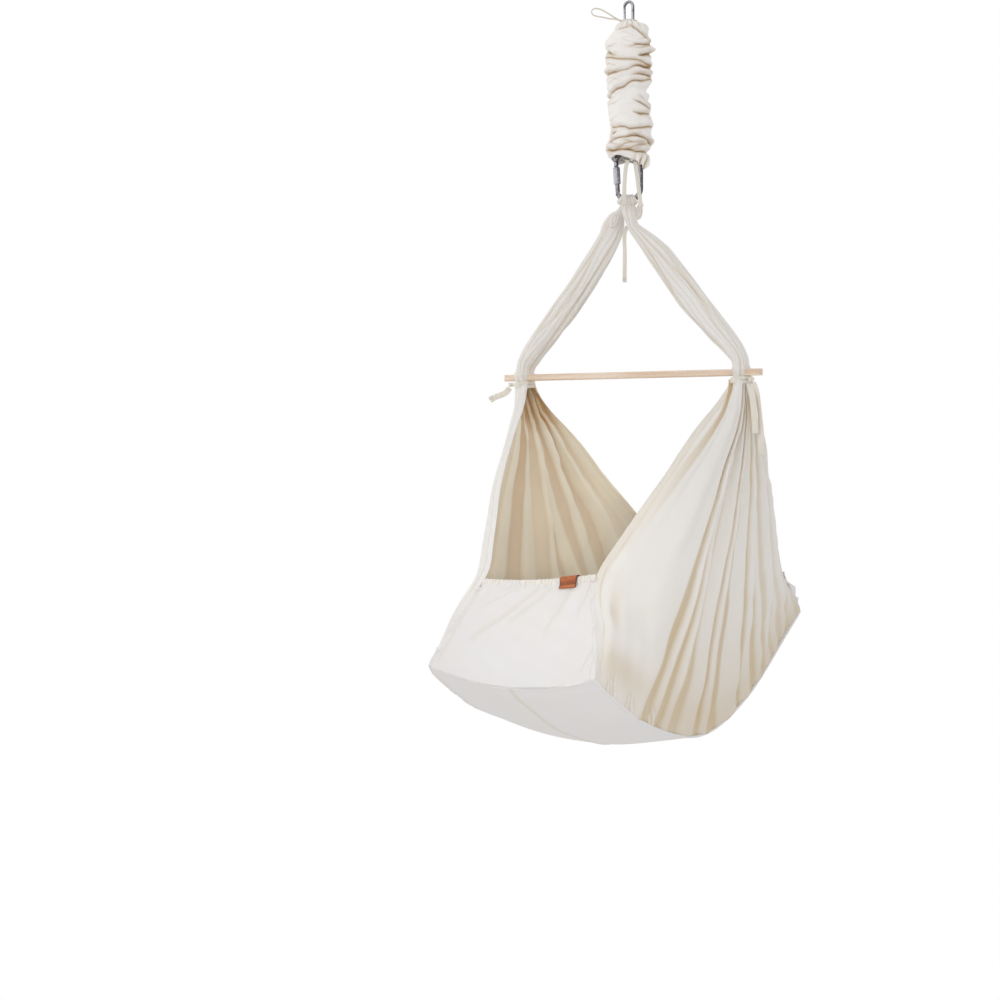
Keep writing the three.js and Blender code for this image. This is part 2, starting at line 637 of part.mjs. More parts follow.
function wallPoint(side, column, row) {
  const wide = THREE.MathUtils.lerp(NECK_OUT, BASE_HALF_WIDTH, row);
  const long = THREE.MathUtils.lerp(NECK_HALF_BACK, BASE_HALF_LENGTH, row);
  const deep = smoothAt(rowKnots, foldRowShares, row) * smoothAt(columnKnots, foldColumnShares, column);
  const fold = FOLD_DEEP * deep * foldWave(column);
  const out = tableAt(wallOutShares, column, row) * wide + fold;
  const back = tableAt(wallBackShares, column, row) * long;
  const fall = tableAt(wallFallShares, column, row) * BAR_TO_BASE;
  return new THREE.Vector3(side * out, back, BAR_HEIGHT - fall);
}

function wallSolid(side) {
  const point = (a, d) => wallPoint(side, a, d);
  return solidOf(sheet(point, WALL_ACROSS_STEPS, WALL_DOWN_STEPS, CLOTH));
}

function barHole(side) {
  const wide = BAR_SIDE + 2 * BAR_PLAY;
  const long = 2 * (NECK_HALF_WIDE + BAR_SIDE);
  return solidOf(new THREE.BoxGeometry(long, wide, wide).translate(side * NECK_OUT, 0, BAR_HEIGHT));
}

// The biggest piece of a solid, without edges shorter than SLIVER
const SLIVER = 0.05;

function largest(solid) {
  const parts = solid.decompose();
  return parts.reduce((best, part) => (part.volume() > best.volume() ? part : best)).simplify(SLIVER);
}

const rightArm = armSolid('right');
const leftArm = largest(armSolid('left').subtract(armSolid('right', FIT)));
const rightCloth = rightArm.add(wallSolid(1)).subtract(barHole(1));
const leftCloth = leftArm.add(wallSolid(-1)).subtract(barHole(-1));
add('right_side_cloth', geometryOf(rightCloth), cotton);
add('left_side_cloth', geometryOf(leftCloth), cotton);

// The spreader bar, a square wooden stick with rounded edges
function spreaderBar() {
  const half = BAR_SIDE / 2;
  const inner = half - BAR_CORNER;
  const section = new THREE.Shape();
  [[inner, inner], [-inner, inner], [-inner, -inner], [inner, -inner]].forEach(([x, y], k) => {
    section.absarc(x, y, BAR_CORNER, k * Math.PI / 2, (k + 1) * Math.PI / 2);
  });
  const options = { depth: BAR_LENGTH, curveSegments: BAR_CORNER_STEPS, bevelEnabled: false };
  const bar = new THREE.ExtrudeGeometry(section, options).translate(0, 0, -BAR_LENGTH / 2);
  return bar.rotateY(Math.PI / 2).translate(0, 0, BAR_HEIGHT);
}

const BAR_CORNER_STEPS = 3;
add('spreader_bar', spreaderBar(), wood);

// The base, a boat-shaped floor that the walls and end panels stand on
const RIM = 2;
const SEAM_DROP = 0.9;
const baseAcrossShares = [-1, -0.93, -0.75, -0.5, -0.25, 0, 0.25, 0.5, 0.75, 0.93, 1];

function between(shares, at) {
  const place = THREE.MathUtils.clamp(at, 0, 1) * (shares.length - 1);
  const low = Math.min(Math.floor(place), shares.length - 2);
  return THREE.MathUtils.lerp(shares[low], shares[low + 1], at * (shares.length - 1) - low);
}

function basePoint(along, across) {
  const seam = wallPoint(1, along, 1);
  const sag = BASE_SAG * (1 - across * across);
  const height = seam.z - BASE_CLOTH / 2 - SEAM_DROP - sag;
  return new THREE.Vector3(across * (seam.x + RIM), seam.y, height);
}

const baseMiddle = (a, d) => basePoint(a, between(baseAcrossShares, d));

// The end panels, each over the walls' edges from the base up to a gathered hem
const PANEL_TOP_ROW = 0.572;
const PANEL_NUDGE_SHARE = 0.4;
const PANEL_LAP = 4;
const PANEL_ACROSS_STEPS = 16;
const PANEL_STEPS = 5;
const PANEL_TOP_DIP = 8;
const PANEL_BULGE = 6;
const HEM_RADIUS = 5.5;
const HEM_BORE = 2.6;
const HEM_END_SHARE = 0.05;
const HEM_STEPS = 14;
const HEM_SIDES = 8;
const ENDS = { front: { column: 0, face: -1 }, rear: { column: 1, face: 1 } };

// The wall's edge as its own facets draw it, so that a panel lies flat along it
function edgePoint(column, row) {
  const low = THREE.MathUtils.clamp(Math.floor(row * WALL_DOWN_STEPS), 0, WALL_DOWN_STEPS - 1);
  const upper = wallPoint(1, column, low / WALL_DOWN_STEPS);
  return upper.lerp(wallPoint(1, column, (low + 1) / WALL_DOWN_STEPS), row * WALL_DOWN_STEPS - low);
}

// The share down a panel of its grid line, the wall's own rows below the hem
function panelDown(share) {
  const line = share * PANEL_STEPS;
  const first = 1 - (PANEL_STEPS - 1) / WALL_DOWN_STEPS;
  const row = line < 1 ? THREE.MathUtils.lerp(PANEL_TOP_ROW, first, line)
    : first + (line - 1) / WALL_DOWN_STEPS;
  return (row - PANEL_TOP_ROW) / (1 - PANEL_TOP_ROW);
}

function panelPoint(end, across, down) {
  const { column, face } = ENDS[end];
  const row = THREE.MathUtils.lerp(PANEL_TOP_ROW, 1, down);
  const edge = edgePoint(column, row);
  const tangent = edgePoint(column, row + NUDGE).sub(edgePoint(column, row - NUDGE));
  const outward = new THREE.Vector3(0, tangent.z, -tangent.y).normalize();
  outward.multiplyScalar(outward.y * face > 0 ? 1 : -1);
  const middle = 1 - across * across;
  const dip = THREE.MathUtils.lerp(PANEL_TOP_DIP, BASE_SAG, down) * middle;
  const bulge = PANEL_BULGE * middle * Math.sin(Math.PI * down);
  const offset = CLOTH / 2 + PANEL_CLOTH / 2 + FIT + bulge;
  const point = new THREE.Vector3(across * (edge.x + PANEL_LAP), edge.y, edge.z - dip);
  return point.addScaledVector(outward, offset);
}

function hemLine(end, extra = 0) {
  const reach = 1 - HEM_END_SHARE + extra;
  const points = Array.from({ length: HEM_STEPS + 1 }, (_, k) => (
    panelPoint(end, THREE.MathUtils.lerp(-reach, reach, k / HEM_STEPS), 0)));
  return new THREE.CatmullRomCurve3(points);
}

function panelSheet(end, grow = 0) {
  const point = (a, d) => panelPoint(end, 2 * a - 1, panelDown(d));
  const nudge = PANEL_NUDGE_SHARE / PANEL_STEPS;
  return solidOf(sheet(point, PANEL_ACROSS_STEPS, PANEL_STEPS, PANEL_CLOTH + 2 * grow, nudge));
}

function panelSolid(end) {
  const hem = solidOf(tube(hemLine(end), HEM_RADIUS, HEM_STEPS, HEM_SIDES));
  const bore = solidOf(tube(hemLine(end, HEM_END_SHARE / 2), HEM_BORE, HEM_STEPS, HEM_SIDES));
  return largest(panelSheet(end).add(hem).subtract(bore));
}

for (const end of ['front', 'rear']) {
  add(`${end}_panel`, geometryOf(panelSolid(end)), cotton);
  const band = tube(hemLine(end), HEM_BORE - FIT, HEM_STEPS, HEM_SIDES);
  add(`${end}_hem_elastic`, band, elastic);
}

const baseSheet = sheet(baseMiddle, WALL_ACROSS_STEPS, baseAcrossShares.length - 1, BASE_CLOTH);
add('base_cloth', baseSheet, cotton);

// The mattress pad lies on the base: crowned, thinner at its drawn-in edge
const PAD_THICK = 28;
const PAD_EDGE = 12;
const PAD_INSET_STEPS = 2;
const PAD_SEAT = 0.5;

function padSurface(share) {
  const from = PAD_INSET_STEPS / WALL_ACROSS_STEPS;
  const columns = baseAcrossShares.length - 1;
  return (a, d) => {
    const along = THREE.MathUtils.lerp(from, 1 - from, a);
    const over = THREE.MathUtils.lerp(1 / columns, 1 - 1 / columns, d);
    const up = normalAt(baseMiddle, along, over);
    up.multiplyScalar(Math.sign(up.z));
    const edge = Math.min(a, 1 - a, d, 1 - d);
    const full = Math.sqrt(Math.min(edge / PAD_ROUND_SHARE, 1));
    const thick = THREE.MathUtils.lerp(PAD_EDGE, PAD_THICK, full);
    return baseMiddle(along, over).addScaledVector(up, BASE_CLOTH / 2 + PAD_SEAT + share * thick);
  };
}

const PAD_ROUND_SHARE = 0.13;
const padAcross = WALL_ACROSS_STEPS - 2 * PAD_INSET_STEPS;
const pad = shell(padSurface(1), padSurface(0), padAcross, baseAcrossShares.length - 3);
add('mattress_pad', pad, liningCotton);

// Piping sewn under the base's rim, along the seam of the walls and end panels
const PIPING = 4.4;
const PIPING_SIDES = 5;
const PIPING_RIM_SHARE = 0.985;

function pipingPath() {
  const columns = baseAcrossShares.length - 1;
  const below = (along, across) => {
    const down = normalAt(baseMiddle, along, (across + 1) / 2);
    down.multiplyScalar(-Math.sign(down.z) * (BASE_CLOTH / 2 + FIT + PIPING / 2));
    return basePoint(along, across).add(down);
  };
  const points = [];
  for (const side of [1, -1]) {
    for (let k = 0; k <= WALL_ACROSS_STEPS; k += 1) {
      const along = side > 0 ? k / WALL_ACROSS_STEPS : 1 - k / WALL_ACROSS_STEPS;
      points.push(below(along, side * PIPING_RIM_SHARE));
    }
    for (let k = 1; k < columns; k += 1) {
      const across = side > 0 ? baseAcrossShares[columns - k] : baseAcrossShares[k];
      points.push(below(side > 0 ? 1 : 0, across));
    }
  }
  return points;
}

const upwards = new THREE.Vector3(0, 0, 1);
const halfPiping = PIPING / 2;
const pipingRings = carried(pipingPath(), halfPiping, halfPiping, PIPING_SIDES, upwards, true);
add('base_piping', loft(pipingRings, true), tape);

// Press studs that fix each end panel's side edges over the walls
const STUD_RADIUS = 5;
const STUD_THICK = 1.8;
const STUD_DOME = 0.7;
const STUD_SIDES = 10;
const STUD_ACROSS_SHARE = 0.955;
const studDownShares = { front: [0.2, 0.52, 0.84], rear: [0.18, 0.65, 0.88] };

function stud(end, side, down) {
  const surface = (a, d) => panelPoint(end, a, d);
  const normal = normalAt(surface, side * STUD_ACROSS_SHARE, down);
  normal.multiplyScalar(Math.sign(normal.y) * ENDS[end].face);
  const profile = [
    [0, 0], [STUD_RADIUS, 0], [STUD_RADIUS, STUD_THICK - STUD_DOME],
    [STUD_RADIUS / 2, STUD_THICK], [0, STUD_THICK],
  ].map(([x, y]) => new THREE.Vector2(x, y));
  const turn = new THREE.Quaternion().setFromUnitVectors(ACROSS, normal);
  const seat = surface(side * STUD_ACROSS_SHARE, down)
    .addScaledVector(normal, PANEL_CLOTH / 2 - FIT);
  const button = new THREE.LatheGeometry(profile, STUD_SIDES).applyQuaternion(turn)
    .translate(seat.x, seat.y, seat.z);
  return geometryOf(solidOf(button).subtract(panelSheet(end, FIT)));
}

for (const end of ['front', 'rear']) {
  for (const [hand, side] of [['left', -1], ['right', 1]]) {
    studDownShares[end].forEach((down, k) => {
      add(`${end}_stud_${hand}_${k + 1}`, stud(end, side, down), snapMetal);
    });
  }
}

// The leather tag folded over the front hem
const TAG_WIDE = 36;
const TAG_THICK = 1.6;
const TAG_FRONT = 18;
const TAG_BACK = 12;
const TAG_PLACE = 71;
const TAG_BEND_STEPS = 8;
const TAG_PLAY = 0.7;

function leatherTag() {
  const inner = HEM_RADIUS + TAG_PLAY;
  const outer = inner + TAG_THICK;
  const section = new THREE.Shape();
  section.moveTo(outer, 0);
  section.absarc(0, 0, outer, 0, Math.PI);
  section.lineTo(-outer, -TAG_BACK);
  section.lineTo(-inner, -TAG_BACK);
  section.absarc(0, 0, inner, Math.PI, 0, true);
  section.lineTo(inner, -TAG_FRONT);
  section.lineTo(outer, -TAG_FRONT);
  const options = { depth: TAG_WIDE, curveSegments: TAG_BEND_STEPS, bevelEnabled: false };
  const tag = new THREE.ExtrudeGeometry(section, options).translate(0, 0, -TAG_WIDE / 2);
  const across = TAG_PLACE / (wallPoint(1, 0, PANEL_TOP_ROW).x + PANEL_LAP);
  const middle = panelPoint('front', across, 0);
  const along = panelPoint('front', across + NUDGE, 0).sub(middle).normalize();
  const down = panelPoint('front', across, NUDGE).sub(middle).normalize();
  const outward = along.clone().cross(down).normalize();
  outward.multiplyScalar(-Math.sign(outward.y));
  const upward = along.clone().negate().cross(outward);
  const frame = new THREE.Matrix4().makeBasis(outward, upward, along.negate());
  return tag.applyMatrix4(frame.setPosition(middle));
}

add('leather_tag', leatherTag(), leather);

// Neck ties: a tape tied round each cloth neck under the bar, with a knot outside
const TIE_HIGH = 7;
const TIE_THICK = 1.8;
const TIE_DROP = 14;
const TIE_KNOT = 6;
const TIE_KNOT_FORWARD = 8;
const SQUARE_SECTION = Math.SQRT2;
const TAPE_SIDES = 4;
const neckRidge = 1 + ARM_RIDGE_SHARE;

function neckTie(side) {
  const clear = FIT + TIE_THICK / 2;
  const wide = NECK_HALF_WIDE * neckRidge + clear;
  const deep = NECK_HALF_DEEP * neckRidge + clear;
  const middle = new THREE.Vector3(side * NECK_OUT, ARM_ASIDE / 4, BAR_HEIGHT - TIE_DROP);
  const path = Array.from({ length: RING_STEPS }, (_, k) => {
    const angle = 2 * Math.PI * k / RING_STEPS;
    const place = new THREE.Vector3(wide * Math.cos(angle), deep * Math.sin(angle), 0);
    return place.add(middle);
  });
  const halfHigh = TIE_HIGH / 2 * SQUARE_SECTION;
  const halfThick = TIE_THICK / 2 * SQUARE_SECTION;
  const ring = solidOf(loft(carried(path, halfHigh, halfThick, TAPE_SIDES, upwards, true), true));
  const knot = new THREE.SphereGeometry(TIE_KNOT, KNOT_STEPS, KNOT_STEPS);
  const place = tieKnotMiddle(side);
  const joined = ring.add(solidOf(knot.translate(place.x, place.y, place.z)));
  return geometryOf(joined.subtract(solidOf(loft(armRings(side > 0 ? 'right' : 'left', FIT)))));
}

function tieKnotMiddle(side) {
  const out = NECK_HALF_WIDE * neckRidge + FIT + TIE_KNOT;
  return new THREE.Vector3(side * (NECK_OUT + out), -TIE_KNOT_FORWARD, BAR_HEIGHT - TIE_DROP);
}

add('left_neck_tie', neckTie(-1), tape);
add('right_neck_tie', neckTie(1), tape);

// Loose tapes and the drawstring's loop, each along points chosen by hand
const TAPE_WIDE = 12;
const TAPE_THICK = 1.5;
const RIBBON_WIDE = 8;
// The tie tails' points are counted from their knot
const leftTieRoute = [
  [-2.3, -0.5, -6.5], [-10.3, -2, -15.5], [-20.3, -5, -20.5], [-31.3, -9, -24.5],
  [-43.3, -13, -30.5],
];
const rightShortRoute = [
  [-2.7, -1, -6.9], [0.3, -3, -20.5], [3.3, -5, -38.5], [5.3, -6, -58.5], [6.3, -6, -78.5],
  [7.3, -6, -100.5],
];
const rightLongRoute = [
  [3.3, 0.5, -6.6], [10.3, 1, -20.5], [14.3, 2, -38.5], [17.3, 3, -63.5], [19.3, 4, -93.5],
  [20.3, 4, -120.5], [21.3, 4, -144.5],
];
const ribbonRoute = [
  [4, -10, -436], [-3, -8, -450], [-6, -5, -465], [-6, -4, -485], [-6, -4, -515], [-6, -4, -545],
];
const coverTapeLeftRoute = [
  [1, -25.5, -312.1], [-1, -25.5, -330], [-3, -25, -350], [-5, -24, -372], [-7, -23.5, -393],
];
const coverTapeRightRoute = [
  [11, -25.5, -312.6], [14, -25.5, -330], [17, -25, -350], [20, -24.5, -375], [23, -24, -400],
];
const drawLoopRoute = [
  [-17, 0, -33.5], [-28, -1, -27.5], [-42, -2, -19], [-55, -3, -12.5], [-65, -3.5, -10.5],
  [-71, -4, -13], [-73, -4, -18], [-70, -4, -23], [-62, -4, -26], [-50, -4, -28], [-38, -4, -30.5],
  [-27, -4, -31.5], [-16.7, -4, -34.4],
];

function route(points, share = 0) {
  const curve = new THREE.CatmullRomCurve3(points.map(([x, y, z]) => turned(x, y, z, share)));
  return curve.getSpacedPoints(points.length * 2);
}

function looseTape(points, wide, share = 0, from = new THREE.Vector3()) {
  const path = route(points, share).map((point) => point.add(from));
  const side = turned(1, 0, 0, 1);
  const halfWide = wide / 2 * SQUARE_SECTION;
  return loft(carried(path, halfWide, TAPE_THICK / 2 * SQUARE_SECTION, TAPE_SIDES, side));
}

add('left_tie_tail', looseTape(leftTieRoute, TAPE_WIDE, 0, tieKnotMiddle(-1)), tape);
add('right_tie_tail_short', looseTape(rightShortRoute, TAPE_WIDE, 0, tieKnotMiddle(1)), tape);
add('right_tie_tail_long', looseTape(rightLongRoute, TAPE_WIDE, 0, tieKnotMiddle(1)), tape);
add('cover_tape_left', looseTape(coverTapeLeftRoute, RIBBON_WIDE, 1), tape);
add('cover_tape_right', looseTape(coverTapeRightRoute, RIBBON_WIDE, 1), tape);
const ribbon = solidOf(looseTape(ribbonRoute, RIBBON_WIDE))
  .subtract(armSolid('right', FIT)).subtract(armSolid('left', FIT));
add('junction_ribbon', geometryOf(largest(ribbon)), tape);
const loopRings = carried(route(drawLoopRoute, 1), STRING / 2, STRING / 2, CORD_SIDES, upwards);
add('drawstring_loop', loft(loopRings), tape);

export default cradle;
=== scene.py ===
# %% [markdown]
# # A hanging baby cradle of cotton cloth
# The imported model gives every hard size. This file dresses it: each soft CAD solid is replaced
# by a cloth with its real folds, and the hardware by smooth wire. All lengths are in metres,
# with the origin where the snap hook rests, Z up, the bar along X and the front towards -Y.
# The imported model comes first.

# %% Load the imported model
import math

import bmesh
import bpy
import numpy as np
from mathutils import Matrix, Vector


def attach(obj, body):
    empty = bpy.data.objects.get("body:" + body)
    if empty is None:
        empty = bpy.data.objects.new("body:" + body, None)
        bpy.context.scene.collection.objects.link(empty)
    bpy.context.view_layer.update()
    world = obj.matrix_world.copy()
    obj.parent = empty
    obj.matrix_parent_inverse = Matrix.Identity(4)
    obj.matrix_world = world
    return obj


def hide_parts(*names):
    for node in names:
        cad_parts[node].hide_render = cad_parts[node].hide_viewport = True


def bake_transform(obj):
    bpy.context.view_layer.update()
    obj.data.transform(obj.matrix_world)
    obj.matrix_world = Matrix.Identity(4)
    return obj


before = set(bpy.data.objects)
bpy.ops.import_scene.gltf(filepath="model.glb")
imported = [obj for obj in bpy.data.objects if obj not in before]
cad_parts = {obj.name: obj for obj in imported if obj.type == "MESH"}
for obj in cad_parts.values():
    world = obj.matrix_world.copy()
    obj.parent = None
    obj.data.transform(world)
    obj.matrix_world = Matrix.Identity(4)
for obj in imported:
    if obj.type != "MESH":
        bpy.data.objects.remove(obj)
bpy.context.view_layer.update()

# %% [markdown]
# ## The camera
# The photograph was taken from a little to the right of the front, from the height of the
# walls, with a long lens. Its place was solved from the bar's ends, the seams and the hook.

# %% Place the camera
AZIMUTH = math.radians(34)
DISTANCE = 4.25
EYE_HEIGHT = -0.8745
FOCAL_PIXELS = 2155
FRAME_PIXELS = 1000
AXIS_COLUMN = 628
HORIZON_ROW = 450
SENSOR = 36

aside = math.atan((AXIS_COLUMN - FRAME_PIXELS / 2) / FOCAL_PIXELS)
pitch = math.atan((FRAME_PIXELS / 2 - HORIZON_ROW) / FOCAL_PIXELS)
heading = AZIMUTH + aside
forward = Vector((-math.sin(heading) * math.cos(pitch), math.cos(heading) * math.cos(pitch), -math.sin(pitch)))
rightward = Vector((math.cos(heading), math.sin(heading), 0))
upward = rightward.cross(forward)

camera_data = bpy.data.cameras.new("camera")
camera_data.sensor_width = SENSOR
camera_data.lens = SENSOR * FOCAL_PIXELS / FRAME_PIXELS
camera_data.clip_end = 60
camera = bpy.data.objects.new("camera", camera_data)
place = Matrix((rightward, upward, -forward)).transposed().to_4x4()
place.translation = (math.sin(AZIMUTH) * DISTANCE, -math.cos(AZIMUTH) * DISTANCE, EYE_HEIGHT)
camera.matrix_world = place
bpy.context.scene.collection.objects.link(camera)
bpy.context.scene.camera = camera
print("lens", round(camera_data.lens, 2), "mm")

# %% [markdown]
# ## Surfaces from arrays
# Every new piece is a grid of points worked out with numpy and put into a mesh in one go.
# A grid may be closed round (a tube) or open (a sheet). The lengths along the grid's lines
# become the UV map in metres, so that threads keep their real size on every piece.

# %% Grid to mesh
FULL_TURN = 2 * math.pi


def line_lengths(points, axis):
    """Distance walked along one axis of a grid, at each point: the running sum of the steps."""
    steps = np.linalg.norm(np.diff(points, axis=axis), axis=-1)
    pad = [(0, 0), (0, 0)]
    pad[axis] = (1, 0)
    return np.pad(np.cumsum(steps, axis=axis), pad)


def recalculate(piece):
    """Turns a closed piece's faces outwards."""
    shape = bmesh.new()
    shape.from_mesh(piece.data)
    bmesh.ops.recalc_face_normals(shape, faces=shape.faces)
    shape.to_mesh(piece.data)
    shape.free()


def stand_for(piece, node, body=None):
    """Puts a piece on its body and in the place of a CAD node, which it hides."""
    if body:
        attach(piece, body)
    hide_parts(node)
    return piece


def mesh_piece(name, vertices, polygons, material, uv=None, marks=None):
    """A smooth mesh of the given corners and faces, with its UV map and its point values."""
    mesh = bpy.data.meshes.new(name)
    mesh.from_pydata(vertices, [], polygons)
    layer = mesh.uv_layers.new(name="UVMap")
    if uv is None:
        corner = np.empty(len(mesh.loops), int)
        mesh.loops.foreach_get("vertex_index", corner)
        uv = vertices[corner][:, :2]
    layer.data.foreach_set("uv", uv.astype(np.float32).ravel())
    for mark, values in (marks or {}).items():
        flat = np.zeros(len(vertices), np.float32)
        flat[:values.size] = values.ravel()
        mesh.attributes.new(mark, "FLOAT", "POINT").data.foreach_set("value", flat)
    mesh.shade_smooth()
    mesh.update()
    piece = bpy.data.objects.new(name, mesh)
    bpy.context.scene.collection.objects.link(piece)
    mesh.materials.append(material)
    return piece


def grid_piece(name, points, material, body=None, node=None, closed=False, caps=False,
               marks=None, thick=0.0):
    """A mesh of four-sided faces on a rows x columns grid of points; closed joins the last
    column to the first and turns the faces outwards, caps close both ends of a tube with a
    middle point each, and thick gives a cloth its thickness, half to each side."""
    rows, columns = points.shape[:2]
    index = np.arange(rows * columns).reshape(rows, columns)
    right = np.roll(index, -1, axis=1) if closed else index[:, 1:]
    left = index if closed else index[:, :-1]
    polygons = np.stack([left[:-1], right[:-1], right[1:], left[1:]], axis=-1).reshape(-1, 4).tolist()
    vertices = points.reshape(-1, 3)
    rounds = points[:, :1] if closed else points[:, :0]
    along = line_lengths(np.concatenate([points, rounds], axis=1), 1)
    u_line = along.mean(axis=0) if closed else along[rows // 2]
    v_line = line_lengths(points, 0).mean(axis=1)
    column_of = np.tile(np.arange(left.shape[1])[:, None] + [0, 1, 1, 0], (rows - 1, 1))
    row_of = np.repeat(np.arange(rows - 1), left.shape[1])[:, None] + [0, 0, 1, 1]
    uv = np.stack([u_line[column_of], v_line[row_of]], axis=-1).reshape(-1, 2)
    if caps:
        vertices = np.concatenate([vertices, [points[0].mean(axis=0), points[-1].mean(axis=0)]])
        top = np.stack([np.full(columns, rows * columns), right[0], left[0]], axis=-1)
        end = np.stack([np.full(columns, rows * columns + 1), left[-1], right[-1]], axis=-1)
        polygons += top.tolist() + end.tolist()
        uv = np.concatenate([uv, np.zeros((columns * 6, 2))])
    spread = {mark: np.broadcast_to(values, (rows, columns)) for mark, values in (marks or {}).items()}
    piece = mesh_piece(name, vertices, polygons, material, uv, spread)
    if closed:
        recalculate(piece)
    if thick:
        solidify = piece.modifiers.new("cloth", "SOLIDIFY")
        solidify.thickness = thick
        solidify.offset = 0
    if node:
        stand_for(piece, node, body)
    return piece


print("grid helpers ready")

# %% Curves, tables and wandering
def smooth_at(knots, values, at):
    """A smooth line through values at knots: cubic pieces whose slopes at a knot are those
    between its two neighbours. Values may be a table with a row for each knot."""
    knots, values, at = np.asarray(knots, float), np.asarray(values, float), np.asarray(at, float)
    index = np.arange(len(knots))
    low, high = np.maximum(index - 1, 0), np.minimum(index + 1, len(knots) - 1)
    tall = (-1,) + (1,) * (values.ndim - 1)
    slopes = (values[high] - values[low]) / (knots[high] - knots[low]).reshape(tall)
    k = np.clip(np.searchsorted(knots, at, side="right") - 1, 0, len(knots) - 2)
    gap = (knots[k + 1] - knots[k]).reshape(tall)
    t = (at - knots[k]).reshape(tall) / gap
    return ((2 * t**3 - 3 * t**2 + 1) * values[k] + (t**3 - 2 * t**2 + t) * gap * slopes[k]
            + (3 * t**2 - 2 * t**3) * values[k + 1] + (t**3 - t**2) * gap * slopes[k + 1])


def ease(values, low, high):
    """A smooth step from 0 at low to 1 at high."""
    t = np.clip((np.asarray(values, float) - low) / (high - low), 0, 1)
    return t * t * (3 - 2 * t)


def bell(values, width):
    """A soft bump: 1 at zero, falling away on both sides over a width, as a Gaussian does."""
    return np.exp(-(values / width) ** 2)


STITCH_HALF, WIDE_STITCH_HALF = 0.0011, 0.0012


def stitch_line(distance, half_wide=STITCH_HALF):
    """How dark a needle line is at a distance from its middle: 1 on it, 0 past its half width."""
    return np.clip(1 - np.abs(distance) / half_wide, 0, 1)


def wander(x, y, seed, size=1.0):
    """A soft random height between about -1 and 1: the mean of seven sine waves with
    seeded directions and starts, one wave about every size of x or y."""
    dice = np.random.default_rng(seed)
    total = 0
    for turn, start, stretch in dice.uniform(0, 1, (7, 3)):
        angle = FULL_TURN * turn
        wave = (x * math.cos(angle) + y * math.sin(angle)) * (0.6 + 0.8 * stretch) / size
        total = total + np.sin(FULL_TURN * (wave + start))
    return total / 3.2


def unit(vectors):
    """Vectors at length 1."""
    return vectors / np.maximum(np.linalg.norm(vectors, axis=-1, keepdims=True), 1e-12)


def normals(points):
    """The unit normal at each point of a grid, from the cross product of its two lines."""
    return unit(np.cross(np.gradient(points, axis=1), np.gradient(points, axis=0)))


def area_of(points, closed=False):
    """The area of a grid of points: the lengths of the cross products of its cells' sides."""
    if closed:
        points = np.concatenate([points, points[:, :1]], axis=1)
    across, down = np.diff(points, axis=1)[:-1], np.diff(points, axis=0)[:, :-1]
    return float(np.linalg.norm(np.cross(across, down), axis=-1).sum())


def mm(*rows):
    """Points written in millimetres, as an array in metres."""
    return np.array(rows, float) / 1000


def distances(path):
    """The distance walked along a line of points, at each of them."""
    return np.concatenate([[0], np.cumsum(np.linalg.norm(np.diff(path, axis=0), axis=1))])


def path_length(path):
    """The length of a line of points."""
    return float(np.linalg.norm(np.diff(path, axis=0), axis=1).sum())


def points_at(at, knots, points):
    """Points on the straight pieces between points at knots."""
    return np.stack([np.interp(at, knots, points[:, k]) for k in range(3)], axis=-1)


def smooth_path(points, count):
    """Count points evenly spaced on a smooth line through the given ones."""
    points = np.asarray(points, float)
    chord = distances(points)
    fine = smooth_at(chord, points, np.linspace(0, chord[-1], 40 * count))
    walked = distances(fine)
    return points_at(np.linspace(0, walked[-1], count), walked, fine)


def tilted(points, angle, first, second):
    """Points turned by an angle from one axis towards another."""
    c, s = np.cos(angle), np.sin(angle)
    result = np.array(points, float)
    result[..., first] = points[..., first] * c - points[..., second] * s
    result[..., second] = points[..., first] * s + points[..., second] * c
    return result


def circle(radius, angle, height):
    """Points at a radius and angle round the Z axis, at a height."""
    return np.stack(np.broadcast_arrays(radius * np.cos(angle), radius * np.sin(angle), height), axis=-1)


def turns(count):
    """Angles evenly spaced once round."""
    return FULL_TURN * np.arange(count) / count


def carry(path, section, first_side, looped=False, twist=None):
    """A profile carried along a path without twisting: at each point the side direction is
    turned square to the path, and each section point (side, up) is laid off from there. A
    looped path ends where it starts."""
    path, section = np.asarray(path, float), np.asarray(section, float)
    ahead = np.roll(path, -1, axis=0) if looped else np.vstack([path[1:], path[-1:]])
    behind = np.roll(path, 1, axis=0) if looped else np.vstack([path[:1], path[:-1]])
    tangents = ahead - behind
    tangents /= np.linalg.norm(tangents, axis=1, keepdims=True)
    side = np.array(first_side, float)
    sides = np.empty_like(path)
    for k, tangent in enumerate(tangents):
        side = side - side.dot(tangent) * tangent
        side /= np.linalg.norm(side)
        sides[k] = side
    ups = np.cross(tangents, sides)
    if twist is not None:
        turn = np.asarray(twist)[:, None]
        sides, ups = sides * np.cos(turn) + ups * np.sin(turn), ups * np.cos(turn) - sides * np.sin(turn)
    section = np.broadcast_to(section, (len(path),) + section.shape[-2:])
    points = path[:, None] + sides[:, None] * section[..., :1] + ups[:, None] * section[..., 1:2]
    return np.concatenate([points, points[:1]]) if looped else points


def ring_section(half_wide, half_high, count, power=2.0):
    """A rounded section: power 2 is an ellipse, and a higher power is squarer."""
    angle = FULL_TURN * (np.arange(count) + 0.5) / count
    c, s = np.cos(angle), np.sin(angle)
    return np.stack([half_wide * np.sign(c) * np.abs(c) ** (2 / power),
                     half_high * np.sign(s) * np.abs(s) ** (2 / power)], axis=-1)


print("surface helpers ready")

# %% [markdown]
# ## Materials
# Each finish is a few nodes on a plain shader. A small function adds nodes and joins them.
# Cloth colours and thread sizes come from unbleached cotton canvas: threads about half a
# millimetre wide, small dark seed flecks, and a faint blotchiness. The weave is a bump made
# of two crossing waves on the piece's own UV map in metres.

